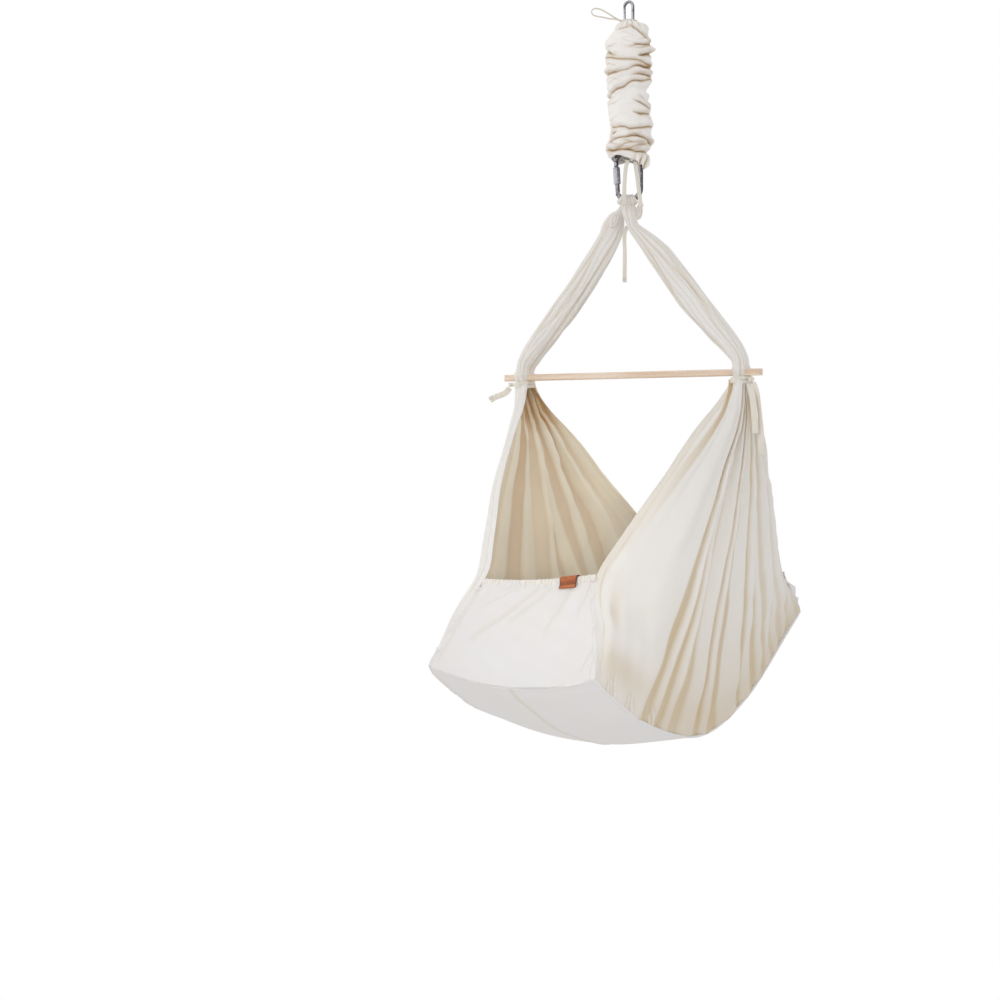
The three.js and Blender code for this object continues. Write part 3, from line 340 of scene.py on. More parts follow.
# %% Node helpers
def linear(code):
    """An sRGB colour code as the linear colour that Blender's shaders use."""
    parts = np.array([int(code[k:k + 2], 16) for k in (1, 3, 5)]) / 255
    low = parts / 12.92
    high = ((parts + 0.055) / 1.055) ** 2.4
    return (*np.where(parts <= 0.04045, low, high).tolist(), 1.0)


def add_node(tree, kind, links=None, **values):
    """Adds a node, sets its named inputs or properties, and joins its linked inputs."""
    node = tree.nodes.new(kind)
    for name, value in values.items():
        socket = node.inputs.get(name.replace("_", " "))
        if hasattr(node, name):
            setattr(node, name, value)
        elif socket is not None:
            socket.default_value = value
    for name, source in (links or {}).items():
        tree.links.new(source, node.inputs[name])
    return node


def new_finish(name, colour, roughness, **sockets):
    """A material with one shader; returns it with its node tree and shader."""
    material = bpy.data.materials.new(name)
    material.use_nodes = True
    tree = material.node_tree
    shader = tree.nodes["Principled BSDF"]
    shader.inputs["Base Color"].default_value = linear(colour)
    shader.inputs["Roughness"].default_value = roughness
    for socket, value in sockets.items():
        shader.inputs[socket.replace("_", " ")].default_value = value
    material.diffuse_color = linear(colour)
    return material, tree, shader


def put(tree, socket, value):
    """Sets a socket to a number or a colour code, or joins another socket to it."""
    if isinstance(value, str):
        socket.default_value = linear(value)
    elif isinstance(value, (int, float)):
        socket.default_value = value
    else:
        tree.links.new(value, socket)


def mix_colours(tree, share, first, second):
    """One colour over another by a share between 0 and 1; each is a code or a socket."""
    node = add_node(tree, "ShaderNodeMix", data_type="RGBA")
    for socket, value in ((node.inputs[0], share), (node.inputs[6], first), (node.inputs[7], second)):
        put(tree, socket, value)
    return node.outputs[2]


def calculate(tree, operation, first, second=0.0):
    """One sum on two values, each a number or a socket."""
    node = add_node(tree, "ShaderNodeMath", operation=operation)
    put(tree, node.inputs[0], first)
    put(tree, node.inputs[1], second)
    return node.outputs[0]


def span(tree, value, low, high, to_low=0.0, to_high=1.0):
    """A value's range stretched to another range and held inside it."""
    node = add_node(tree, "ShaderNodeMapRange", {"Value": value})
    for name, number in (("From Min", low), ("From Max", high), ("To Min", to_low), ("To Max", to_high)):
        node.inputs[name].default_value = number
    return node.outputs["Result"]


def pattern(tree, vector, scale, detail=None, kind="Noise", output="Fac"):
    """A noise or cell pattern of so many waves to the metre."""
    detail = {} if detail is None else {"Detail": detail}
    return add_node(tree, f"ShaderNodeTex{kind}", {"Vector": vector}, Scale=scale, **detail).outputs[output]


def object_place(tree, stretch=None):
    """The place on the object, in metres, stretched along its axes where asked."""
    where = add_node(tree, "ShaderNodeTexCoord").outputs["Object"]
    if stretch:
        long = add_node(tree, "ShaderNodeMapping", {"Vector": where})
        long.inputs["Scale"].default_value = stretch
        where = long.outputs[0]
    return where


def mark_value(tree, name):
    """The value that the points of a piece carry under a name."""
    return add_node(tree, "ShaderNodeAttribute", attribute_name=name).outputs["Fac"]


def colour_and_bump(tree, shader, body, height, strength, distance):
    """Joins the worked-out colour and a bump to the shader."""
    tree.links.new(body, shader.inputs["Base Color"])
    bumped = add_node(tree, "ShaderNodeBump", {"Height": height}, Strength=strength, Distance=distance)
    tree.links.new(bumped.outputs[0], shader.inputs["Normal"])


print("node helpers ready")

# %% [markdown]
# Cotton is drawn once for several cloths. The attribute "crease" says how deep a point lies
# in a fold, and the cotton is painted warmer and darker there: painted shade, for the shade and the light
# that bounces between the fold's walls. The attribute "stitch" darkens a seam's needle line.

# %% Cotton cloths
THREAD = 0.0011
WAVES_TO_THREAD = 3.2
BLOTCH_COLOUR, STITCH_COLOUR, SEED_COLOUR = "#E7E3DA", "#C4B493", "#B79B6E"


def cotton(name, colour, deep, thread=THREAD, fleck=0.35, bump=0.25):
    """Plain-woven cotton: two crossing thread waves as bump, blotches and seed flecks, and painted shade in the colour
    deep where the attribute 'crease' is high.
    """
    material, tree, shader = new_finish(name, colour, 0.92, Sheen_Weight=0.12, Sheen_Roughness=0.5)
    uv = add_node(tree, "ShaderNodeUVMap", uv_map="UVMap").outputs[0]
    warp, weft = (add_node(tree, "ShaderNodeTexWave", {"Vector": uv}, Scale=1 / (thread * WAVES_TO_THREAD),
                           Distortion=0.6, bands_direction=way, Detail=1.0).outputs["Fac"] for way in "XY")
    where = object_place(tree)
    blotch = pattern(tree, where, 14.0, 3.0)
    slub = pattern(tree, uv, 900.0, 1.0)
    seeds = pattern(tree, where, 95.0, kind="Voronoi", output="Distance")
    body = mix_colours(tree, span(tree, blotch, 0.35, 0.7, 0.0, 0.3), colour, BLOTCH_COLOUR)
    # painted shade: the fold colour mixed in by the attribute 'crease'
    body = mix_colours(tree, mark_value(tree, "crease"), body, deep)
    stitch = calculate(tree, "MULTIPLY", mark_value(tree, "stitch"), 0.55)
    body = mix_colours(tree, stitch, body, STITCH_COLOUR)
    body = mix_colours(tree, span(tree, seeds, 0.035, 0.075, fleck, 0.0), body, SEED_COLOUR)
    height = calculate(tree, "ADD", calculate(tree, "MULTIPLY", warp, weft), calculate(tree, "MULTIPLY", slub, 0.5))
    colour_and_bump(tree, shader, body, height, bump, 0.0004)
    return material


# the second colour of each cotton is its painted shade in folds
canvas = cotton("cotton_canvas", "#ECEAE7", "#CCB68E")
# painted light: the walls' inner faces get a lighter, warmer copy of the canvas, for light through the cloth, with a
# deeper painted shade in folds
canvas_inner_painted_light = cotton("cotton_canvas_inner_face_painted_light", "#F9F2E0", "#C39A63")
cover_cotton = cotton("cotton_cover_cloth", "#FBF8F5", "#AE8A44")
base_cotton = cotton("cotton_base_cloth", "#E9E8E9", "#D3C3A6")
pad_ticking = cotton("cotton_pad_ticking", "#EBE8E0", "#D8CBB0", fleck=0.2)
tape_cotton = cotton("cotton_twill_tape", "#EAE5DA", "#CDB88F", thread=0.0009, fleck=0.2, bump=0.4)
print("cotton cloths ready")

# %% [markdown]
# The bar is beech: long pale grain with short darker flecks, cut across at its ends. The tag
# is vegetable-tanned leather, darker at its cut edges. The hook and carabiner are plated
# steel, bright but scuffed, with a painted dark reflection on the sides that look down or back.

# %% Wood, leather and metals
GRAIN_STRETCH, FLECK_STRETCH = (6, 160, 160), (110, 900, 900)


def beech():
    """Grain stretched along the bar (X), short flecks, a little gloss from handling."""
    material, tree, shader = new_finish("beech_oiled", "#E3CDB6", 0.5, Coat_Weight=0.08, Coat_Roughness=0.4)
    grain = pattern(tree, object_place(tree, GRAIN_STRETCH), 1.0, 4.0)
    flecks = pattern(tree, object_place(tree, FLECK_STRETCH), 1.0, 2.0)
    body = mix_colours(tree, span(tree, grain, 0.35, 0.68), "#EEDDCB", "#DABDA1")
    body = mix_colours(tree, span(tree, flecks, 0.62, 0.72, 0.0, 0.5), body, "#A9805C")
    colour_and_bump(tree, shader, body, flecks, 0.12, 0.0003)
    return material


def tanned_leather():
    """Pores as a fine cell bump, cloudy tan, and burnished edges from the attribute 'crease'."""
    material, tree, shader = new_finish("leather_vegetable_tanned", "#B5673F", 0.62)
    where = object_place(tree)
    cloud = pattern(tree, where, 120.0, 4.0)
    pores = pattern(tree, where, 1400.0, kind="Voronoi", output="Distance")
    body = mix_colours(tree, span(tree, cloud, 0.35, 0.7), "#BE6E3E", "#A65A31")
    body = mix_colours(tree, mark_value(tree, "crease"), body, "#5A2A15")
    colour_and_bump(tree, shader, body, pores, 0.3, 0.0002)
    return material


def plated_steel(name, colour, roughness, scuff_and_reflection="#4C4A50", dark_reflection=0.5):
    """Plating with fine scratches in its roughness and random scuffs, and a painted dark reflection in
    streaks on the faces that look down or back, broken up by noise."""
    material, tree, shader = new_finish(name, colour, roughness, Metallic=1.0)
    coordinates = add_node(tree, "ShaderNodeTexCoord")
    cloud = pattern(tree, coordinates.outputs["Object"], 220.0, 5.0)
    faces = add_node(tree, "ShaderNodeSeparateXYZ", {"Vector": coordinates.outputs["Normal"]})
    rough = span(tree, cloud, 0.3, 0.7, roughness - 0.08, roughness + 0.14)
    tree.links.new(rough, shader.inputs["Roughness"])
    # painted dark reflection: faces turned towards +X and downwards are darkened, broken up by noise
    turned_away = calculate(tree, "ADD", calculate(tree, "MULTIPLY", faces.outputs["X"], 0.55),
                            calculate(tree, "MULTIPLY", faces.outputs["Z"], -0.5))
    broken = calculate(tree, "ADD", turned_away, calculate(tree, "MULTIPLY", cloud, 0.7))
    body = mix_colours(tree, span(tree, cloud, 0.5, 0.75, 0.0, 0.5), colour, scuff_and_reflection)
    body = mix_colours(tree, span(tree, broken, 0.5, 0.85, 0.0, dark_reflection), body, scuff_and_reflection)
    tree.links.new(body, shader.inputs["Base Color"])
    return material


wood = beech()
leather = tanned_leather()
steel = plated_steel("steel_zinc_plated", "#A4A1A9", 0.24, dark_reflection=0.95)
worn_steel = plated_steel("steel_sleeve_nickel", "#C4C2CA", 0.2, dark_reflection=0.7)
spring_steel = plated_steel("steel_spring_oiled", "#8C8B90", 0.35, "#45454A")
stud_metal = new_finish("brass_stud_cream_enamel", "#E9E7E4", 0.55)[0]
elastic_web = cotton("elastic_woven", "#E6E0D2", "#C9BA9A", thread=0.0007, fleck=0.0)
print("wood, leather and metals ready")

# %% [markdown]
# ## Tapes and strings
# The loose ends are flat twill tape, tied off round the necks and hanging by their own weight.
# Each is a rounded flat profile carried along a smooth path, with a slow twist, a hemmed end
# and a slight curl. Their routes are those of the CAD solids.

# %% Routes of the tapes
BAR_HEIGHT = -0.7275
NECK_OUT = 0.256
CARABINER_TURN = math.radians(37.4)
LEFT_KNOT = mm([-283.7, -8, -741.5])[0]
RIGHT_KNOT = mm([283.7, -8, -741.5])[0]
TAPE_WIDE, TAPE_THICK, RIBBON_WIDE, STRING = 0.012, 0.0011, 0.008, 0.0052


def turned(points, share=1.0):
    """Points turned about Z by a share of the carabiner's turn."""
    return tilted(np.asarray(points, float), CARABINER_TURN * share, 0, 1)


TAPES = {  # name: width, body, CAD node, twist, flare at the hem, and the route
    "left_tail": (TAPE_WIDE, "hammock", "left_tie_tail", 0.2, 0.25, LEFT_KNOT + mm(
        [-2.3, -0.5, -6.5], [-10.3, -2, -15.5], [-20.3, -5, -20.5], [-31.3, -9, -24.5], [-43.3, -13, -30.5])),
    "right_tail_short": (TAPE_WIDE, "hammock", "right_tie_tail_short", 0.35, 0.2, RIGHT_KNOT + mm(
        [-2.7, -1, -6.9], [3, -4, -20.5], [8, -6, -38.5], [11, -7, -58.5], [13, -7, -78.5], [14, -7, -102])),
    "right_tail_long": (TAPE_WIDE, "hammock", "right_tie_tail_long", 1.1, 0.0, RIGHT_KNOT + mm(
        [3.3, 0.5, -6.6], [10.3, 1, -20.5], [14.3, 2, -38.5], [17.3, 3, -63.5], [19.3, 4, -93.5],
        [20.3, 4, -120.5], [21.3, 4, -144.5])),
    "arm_ribbon": (RIBBON_WIDE, "hammock", "junction_ribbon", 0.5, 0.0, mm(
        [4, -10, -436], [-3, -8, -450], [-6, -5, -465], [-6, -4, -485], [-6, -4, -515], [-6, -4, -545])),
    "cover_tail_left": (RIBBON_WIDE, "carabiner", "cover_tape_left", 0.3, 0.3, turned(mm(
        [-3, -25.5, -309], [-7, -25.5, -328], [-9, -25, -350], [-9.5, -24, -372], [-9, -23.5, -397]))),
    "cover_tail_right": (RIBBON_WIDE, "carabiner", "cover_tape_right", -0.2, 0.5, turned(mm(
        [11, -25.5, -312.6], [14, -25.5, -330], [17, -25, -350], [20, -24.5, -375], [23, -24, -400]))),
}
LOOP_ROUTE = turned(mm(
    [-16.6, 0, -33.5], [-28, -1, -27.5], [-42, -2, -19], [-55, -3, -12.5], [-65, -3.5, -10.5], [-71, -4, -13],
    [-73, -4, -18], [-70, -4, -23], [-62, -4, -26], [-50, -4, -28], [-38, -4, -30.5], [-27, -4, -31.5],
    [-16.3, -4, -34.4]))
print(len(TAPES), "tapes and a loop of string")

# %% Make the tapes
TAPE_HEM, TAPE_HEM_STEP, STITCH_BACK = 0.008, 0.002, 0.007
TAPE_RINGS, TAPE_AROUND, LOOP_STEPS, TAPE_CURL = 34, 18, 40, 0.9


def flat_tape(name, wide, body, node, twist, flare, route):
    """A flat tape along a route: a squarish rounded section, curled a little across, thicker
    over its last 8 mm where the end is turned in and sewn."""
    path = smooth_path(route, TAPE_RINGS)
    length = path_length(path)
    share = np.linspace(0, 1, len(path))
    left = share * length - length
    hem = np.clip((left + TAPE_HEM) / TAPE_HEM_STEP, 0, 1)[:, None]
    section = ring_section(wide / 2, TAPE_THICK / 2, TAPE_AROUND, power=5) * np.stack(
        [1 + 0.6 * flare * hem, 1 + 0.5 * hem], axis=-1)
    section[..., 1] += TAPE_CURL * TAPE_THICK * (2 * section[..., 0] / wide) ** 2 * np.sin(2.3 + 4 * share)[:, None]
    points = carry(path, section, turned([1.0, 0, 0]), twist=twist * np.sin(math.pi * share * 1.2))
    stitch = stitch_line(left + STITCH_BACK, WIDE_STITCH_HALF)[:, None]
    piece = grid_piece(name, points, tape_cotton, body, node, closed=True, caps=True,
                       marks={"stitch": stitch, "crease": 0.05})
    print(name, round(length * 1000), "mm long")
    return piece, path, length


for name, tape in TAPES.items():
    piece, path, length = flat_tape(name, *tape)

# %% The drawstring's loop
loop_path = smooth_path(LOOP_ROUTE, LOOP_STEPS)
draw_loop = grid_piece("draw_loop", carry(loop_path, ring_section(0.0012, STRING / 2, 14, power=4), (0, 0, 1)),
                       tape_cotton, "spring_unit", "drawstring_loop", closed=True, caps=True,
                       marks={"crease": 0.1})

# %% [markdown]
# ## The side walls
# Each side of the cradle is one cloth, drawn together at the bar and sewn along the base. Its
# middle surface comes from the same tables as the CAD solid: seven columns from the front
# edge to the rear edge and seven rows from the bar to the seam. On it lie knife pleats: every
# pleat climbs slowly and then drops, and its two edges are lines read from the photograph,
# as columns at six rows. A broad smooth band at the front is the cloth pulled tight.

# %% The walls' tables
COLUMN_KNOTS = [0, 0.045, 0.27, 0.5, 0.73, 0.95, 1]
ROW_KNOTS = [0, 0.114, 0.269, 0.419, 0.572, 0.802, 1]
OUT_SHARES = [
    [0.949, 0.984, 1.031, 1.047, 1.031, 0.992, 0.953],
    [0.861, 0.966, 1.03, 1.038, 1.014, 0.978, 0.938],
    [0.777, 0.89, 1.007, 1.024, 0.991, 0.89, 0.827],
    [0.648, 0.78, 0.981, 1.016, 0.972, 0.78, 0.692],
    [0.573, 0.733, 0.971, 1.017, 0.971, 0.742, 0.628],
    [0.803, 0.931, 1.014, 1.044, 1.005, 0.867, 0.803],
    [1, 1.016, 1.026, 1.032, 1.026, 0.974, 0.947],
]
BACK_SHARES = [
    [-0.32, -0.64, -0.4, 0.12, 0.6, 0.84, 0.6],
    [-1.145, -0.934, -0.422, 0.181, 0.813, 1.386, 1.687],
    [-1.329, -1.223, -0.652, 0.065, 0.815, 1.468, 1.688],
    [-1.333, -1.276, -0.734, 0, 0.734, 1.513, 1.671],
    [-1.247, -1.212, -0.722, -0.043, 0.623, 1.419, 1.599],
    [-1.076, -1.028, -0.595, -0.089, 0.411, 1.019, 1.17],
    [-0.995, -0.92, -0.554, -0.103, 0.335, 0.825, 0.938],
]
FALL_SHARES = [
    [0.029] * 7, [0.139] * 7, [0.29] * 7,
    [0.435, 0.435, 0.44, 0.443, 0.44, 0.435, 0.435],
    [0.55, 0.563, 0.606, 0.628, 0.606, 0.592, 0.588],
    [0.671, 0.69, 0.8, 0.843, 0.79, 0.664, 0.642],
    [0.792, 0.826, 0.934, 0.986, 0.903, 0.722, 0.685],
]
FOLD_ROW_SHARES = [0.3, 0.65, 1, 0.9, 0.7, 0.45, 0]
FOLD_COLUMN_SHARES = [0, 0.25, 0.35, 1, 1, 0.6, 0]
FOLD_COUNT, FOLD_DEEP, FOLD_RIDGE = 7, 0.0075, 0.6
BAR_TO_BASE = 0.696
BASE_HALF_WIDTH, BASE_HALF_LENGTH, NECK_HALF_BACK = 0.190, 0.388, 0.025


def main_fold(columns):
    """The main pleats' height from -1 to 1: a slow climb to the ridge, then a quicker drop."""
    place = (np.asarray(columns) * FOLD_COUNT) % 1
    drop = (place - FOLD_RIDGE) / (1 - FOLD_RIDGE)
    return -np.cos(FULL_TURN * np.where(place < FOLD_RIDGE, place / FOLD_RIDGE / 2, (1 + drop) / 2))


def shares_at(table, columns, rows):
    """A smooth surface through a table of shares, at every row and column asked for."""
    return smooth_at(COLUMN_KNOTS, smooth_at(ROW_KNOTS, table, rows).T, columns).T


def wall_middle(side, columns, rows):
    """The wall's middle surface: the tables' shares of its width, length and height, which
    grow in a straight line from the neck's sizes to the base's, and the main pleats."""
    down = np.asarray(rows)[:, None]
    out = shares_at(OUT_SHARES, columns, rows) * (NECK_OUT + (BASE_HALF_WIDTH - NECK_OUT) * down)
    back = shares_at(BACK_SHARES, columns, rows) * (NECK_HALF_BACK + (BASE_HALF_LENGTH - NECK_HALF_BACK) * down)
    fall = shares_at(FALL_SHARES, columns, rows) * BAR_TO_BASE
    deep = smooth_at(ROW_KNOTS, FOLD_ROW_SHARES, rows)[:, None] * smooth_at(COLUMN_KNOTS, FOLD_COLUMN_SHARES, columns)
    out = out + FOLD_DEEP * deep * main_fold(columns)
    return np.stack([side * out, back, BAR_HEIGHT - fall], axis=-1)


print(len(ROW_KNOTS), "rows by", len(COLUMN_KNOTS), "columns on each wall")

# %% Pleats
PLEAT_ROWS = [0.05, 0.2, 0.4, 0.6, 0.8, 1.0]
MEAN_PLEAT = 0.0035
FULL_DEPTH = 0.008  # a fold this deep is as warm as folds get
RIGHT_PLEATS = {  # each pleat's rear edge as columns, its ridge's shares and its depths in mm, at the pleat rows
    "hem": (0, 0.5, 0),
    "hem_groove": ([0.075, 0.06, 0.045, 0.035, 0.03, 0.03], [0.5, 0.4, 0.4, 0.4, 0.5, 0.5], [7, 4, 1, 0, 0, 0]),
    "taut_band": ([0.36, 0.342, 0.352, 0.33, 0.275, 0.25], [0.93, 0.93, 0.92, 0.87, 0.84, 0.8], [8, 10, 11, 10, 8, 4]),
    "pleat_a": ([0.4, 0.388, 0.395, 0.372, 0.33, 0.315], [0.5, 0.45, 0.5, 0.5, 0.45, 0.4], [6, 8, 8, 8, 7, 4]),
    "pleat_b": ([0.43, 0.426, 0.432, 0.405, 0.388, 0.375], [0.5, 0.5, 0.58, 0.55, 0.4, 0.4], [4, 6, 7, 7, 6, 3]),
    "pleat_c": ([0.485, 0.495, 0.497, 0.477, 0.466, 0.48], [0.8, 0.82, 0.84, 0.82, 0.8, 0.7], [8, 9, 9, 9, 8, 4]),
    "pleat_d": ([0.53, 0.53, 0.535, 0.53, 0.53, 0.56], [0.3, 0.25, 0.25, 0.3, 0.35, 0.4], [5, 6, 8, 8, 7, 4]),
    "pleat_e": ([0.64, 0.635, 0.63, 0.637, 0.665, 0.69], [0.8, 0.78, 0.8, 0.77, 0.8, 0.8], [8, 9, 9, 8, 8, 4]),
    "pleat_f": ([0.72, 0.712, 0.708, 0.72, 0.75, 0.77], 0.6, [4, 4, 4, 6, 6, 4]),
    "pleat_g": ([0.77, 0.755, 0.75, 0.77, 0.8, 0.82], [0.4, 0.4, 0.35, 0.4, 0.5, 0.5], [4, 5, 5, 5, 5, 3.5]),
    "pleat_h": ([0.85, 0.84, 0.83, 0.835, 0.845, 0.86], 0.6, [3, 4, 4, 4, 4, 2]),
    "pleat_i": ([0.9, 0.89, 0.89, 0.89, 0.9, 0.9], 0.5, [2, 3, 3, 3, 3, 2]),
    "pleat_j": ([0.95, 0.95, 0.95, 0.945, 0.94, 0.94], 0.55, [2, 3, 3, 3, 3, 2]),
    "rear_edge": (1, 0.6, [2, 3, 3, 3, 2, 1.5]),
}
LEFT_PLEATS = {
    "hem": (0, 0.5, 0),
    "front_soft": ([0.27, 0.275, 0.275, 0.255, 0.25, 0.25], 0.5, [3, 4, 4, 3, 2, 1]),
    "soft_brown": ([0.47, 0.44, 0.425, 0.425, 0.42, 0.42], 0.45, [8, 8, 7, 5, 3, 2]),
    "light_band": ([0.55, 0.553, 0.57, 0.59, 0.6, 0.6], 0.5, [5, 5, 4, 4, 2, 1]),
    "sharp": ([0.608, 0.608, 0.625, 0.68, 0.7, 0.7], 0.5, [6, 7, 6, 6, 4, 2]),
    "second_sharp": ([0.68, 0.685, 0.712, 0.76, 0.78, 0.78], 0.5, [5, 6, 6, 6, 4, 2]),
    "rear_soft": ([0.87, 0.81, 0.82, 0.83, 0.85, 0.85], 0.5, [8, 7, 6, 5, 3, 1]),
    "rear_fold": ([0.975, 0.95, 0.93, 0.93, 0.94, 0.94], 0.5, [5, 5, 3, 2, 1, 1]),
    "rear_edge": (1, 0.6, [3, 3, 3, 3, 2, 1]),
}


def pleat_height(pleats, columns, rows):
    """How far the cloth stands out at each row and column, and how deep it lies in a fold, as painted shade.
    Within a pleat the place t runs from 0 to 1; it is bent so that the ridge falls at the
    pleat's share, and the height is a blend of a half sine and a full cosine wave. The side
    of a pleat past its ridge turns away from the light, and counts as part of its fold, so it gets painted shade too."""
    at, flat = np.clip(rows, PLEAT_ROWS[0], 1), len(PLEAT_ROWS)
    edges, ridges, depths = (np.stack([smooth_at(PLEAT_ROWS, np.broadcast_to(pleat[part], flat), at)
                                       for pleat in pleats.values()]) for part in range(3))
    bend = 0.0015 * wander(rows[None, :], np.arange(len(pleats))[:, None] * 3.7, 5, 0.45)
    edges[1:-1] += bend[1:-1]
    edges = np.maximum.accumulate(edges, axis=0)
    which = np.clip((columns[None, :, None] >= edges.T[:, None, :]).sum(axis=-1), 1, len(pleats) - 1)
    row_index = np.arange(len(rows))[:, None]
    low, high, ridge = (lines.T[row_index, which - back] for lines, back in ((edges, 1), (edges, 0), (ridges, 0)))
    before, deep = (np.maximum(depths.T[row_index, which - back], 0) / 1000 for back in (1, 0))
    t = np.clip((columns[None, :] - low) / np.maximum(high - low, 1e-4), 0, 1)
    t = np.where(t < ridge, 0.5 * t / ridge, 0.5 + 0.5 * (t - ridge) / (1 - ridge))
    wave = 0.55 * np.sin(math.pi * t) + 0.45 * (0.5 - 0.5 * np.cos(FULL_TURN * t))
    # painted shade: the valley beside each pleat's edge and the lee side past its ridge, stronger near the neck
    nearby = bell(columns[None, :] - low, 0.014) * np.clip(np.minimum(deep, before) / FULL_DEPTH, 0, 1)
    valley = (1 - np.clip(wave / 0.75, 0, 1)) * nearby
    lee = ease(t, 0.5, 0.64) * np.clip(deep / FULL_DEPTH, 0, 1)
    return deep * wave - MEAN_PLEAT, 0.72 * np.maximum(valley, lee) * (1.4 - 0.4 * ease(rows, 0.03, 0.35)[:, None])


print(len(RIGHT_PLEATS), "lines on the right wall,", len(LEFT_PLEATS), "on the left")

# %% Make a wall
NECK_RING_OUT, NECK_RING_DEEP, NECK_RING_BACK = 0.0165, 0.0215, 0.003
WALL_TOP, WALL_LONG, WALL_CLOTH, HEM_WIDE = -0.7415, 0.80, 0.0016, 0.015
DRAWN_IN = 0.085  # the share of the wall's height over which it is drawn in to the neck
GATHER_WAVE, GATHER_DEEP, SEAM_DROP = 0.0115, 0.0015, 0.0045
HEM_STEP, HEM_DEEP, STITCH_IN = 0.0008, 0.0007, 0.0018
DENT_COLUMN, DENT_ROW, DENT_DEEP = 0.058, 0.68, 0.004
wall_columns = np.concatenate([np.linspace(0, 0.03, 14, endpoint=False), np.linspace(0.03, 1, 370)])
wall_rows = np.concatenate([np.linspace(0, 0.12, 22, endpoint=False), np.linspace(0.12, 1, 84)])


def neck_wrap(side, columns):
    """Where the cloth's top edge lies, drawn round the neck: most of a ring, open inwards."""
    angle = (columns - 0.5) * math.radians(310)
    return np.stack([side * (NECK_OUT + NECK_RING_OUT * np.cos(angle)),
                     NECK_RING_BACK + NECK_RING_DEEP * np.sin(angle), np.full(len(columns), WALL_TOP)], axis=-1)


def wall(name, side, pleats, node, seed):
    """The wall's middle surface, its pleats laid off along the outward normal (or inwards, on
    the left), the gathers at the base seam, the doubled hem at the front edge and the
    drawn-in top. The face towards the inside is painted lighter and warmer than the outer one, as painted light
    through the cloth."""
    down, over, right = wall_rows[:, None], wall_columns[None, :], side > 0
    middle = wall_middle(side, wall_columns, wall_rows)
    near = (1 - ease(wall_rows, 0.0, DRAWN_IN))[:, None, None]
    middle = middle * (1 - near) + neck_wrap(side, wall_columns)[None] * near
    height, crease = pleat_height(pleats, wall_columns, wall_rows)
    edge = ease(over, 0.0, 0.02) * ease(1 - over, 0.0, 0.015)
    reach = line_lengths(middle, 1)
    uneven = np.clip(0.75 + 0.7 * wander(reach, 0 * down, seed + 5, 0.06), 0.15, 1.4)
    start = 0.925 - 0.05 * np.clip(wander(reach, 0 * down, seed + 6, 0.035), -1, 1)
    gather = ease(down - start, 0.0, 0.06) * (1 - 0.75 * ease(over, 0.22, 0.4)) * ease(over, 0.0, 0.03) * uneven
    slant = reach + 0.10 * (1 - down) + 0.008 * wander(over, down * 0.3, seed, 0.06)
    wave = np.sin(FULL_TURN * slant / GATHER_WAVE)
    small = 0.0011 * wander(reach, down * 0.25, seed + 1, 0.05) + 0.0016 * wander(reach, down * 0.5, seed + 2, 0.16)
    hem = HEM_DEEP * np.clip((HEM_WIDE - reach) / HEM_STEP, 0, 1)
    dent = bell(over - DENT_COLUMN, 0.017) * bell(down - DENT_ROW, 0.08) * right
    out = side * (height - DENT_DEEP * dent) * edge + GATHER_DEEP * gather * wave + small * edge + hem
    points = middle + normals(middle) * -side * out[..., None]
    points[..., 2] -= SEAM_DROP * ease(down, 0.975, 1.0)
    # painted shade, warmer and darker: in the folds, in a band beside the hem, at the drawn-in top, towards the base,
    # where the cloth turns in at the seam, in the dent and between the gathers
    band = 0.2 * (1 - ease(reach, 0.015, 0.021)) * (1 - ease(down, 0.5, 0.7)) * right
    band = band + 0.5 * ease(over, 0.4, 0.5) * (1 - ease(down, 0.05, 0.16))
    lower_painted_shade = 0.3 * ease(down, 0.45, 0.95) * ease(over, 0.12, 0.4) + 0.12 * ease(down, 0.8, 0.95)
    turn_in_painted_shade = 0.32 * bell(down - 0.89, 0.06) * ease(over, 0.01, 0.05) * (1 - ease(over, 0.12, 0.27))
    crease = crease * (1 if right else 0.7 * ease(over, 0.2, 0.3)) * edge + 0.3 * gather * np.clip(-wave, 0, 1)
    shade = np.clip(crease + band + (lower_painted_shade + turn_in_painted_shade + 0.35 * dent) * right, 0, 1)
    # the inner face gets the lighter, warmer copy of the canvas: painted light through the cloth
    faces = (canvas_inner_painted_light, canvas) if right else (canvas, canvas_inner_painted_light)
    piece = grid_piece(name, points, faces[0], "hammock", node, thick=WALL_CLOTH,
                       marks={"stitch": 0.8 * stitch_line(reach - HEM_WIDE + STITCH_IN), "crease": shade})
    piece.data.materials.append(faces[1])
    piece.modifiers["cloth"].material_offset = 1


wall("right_wall", 1, RIGHT_PLEATS, "right_side_cloth", 11)
wall("left_wall", -1, LEFT_PLEATS, "left_side_cloth", 23)

# %% [markdown]
# ## The arms
# Above each neck the same cloth runs up as a rolled arm to the carabiner. It is a soft tube,
# thin near the loop and full near the neck, creased lengthwise. Each crease is a narrow dip
# in the tube's radius whose place drifts slowly round the arm.

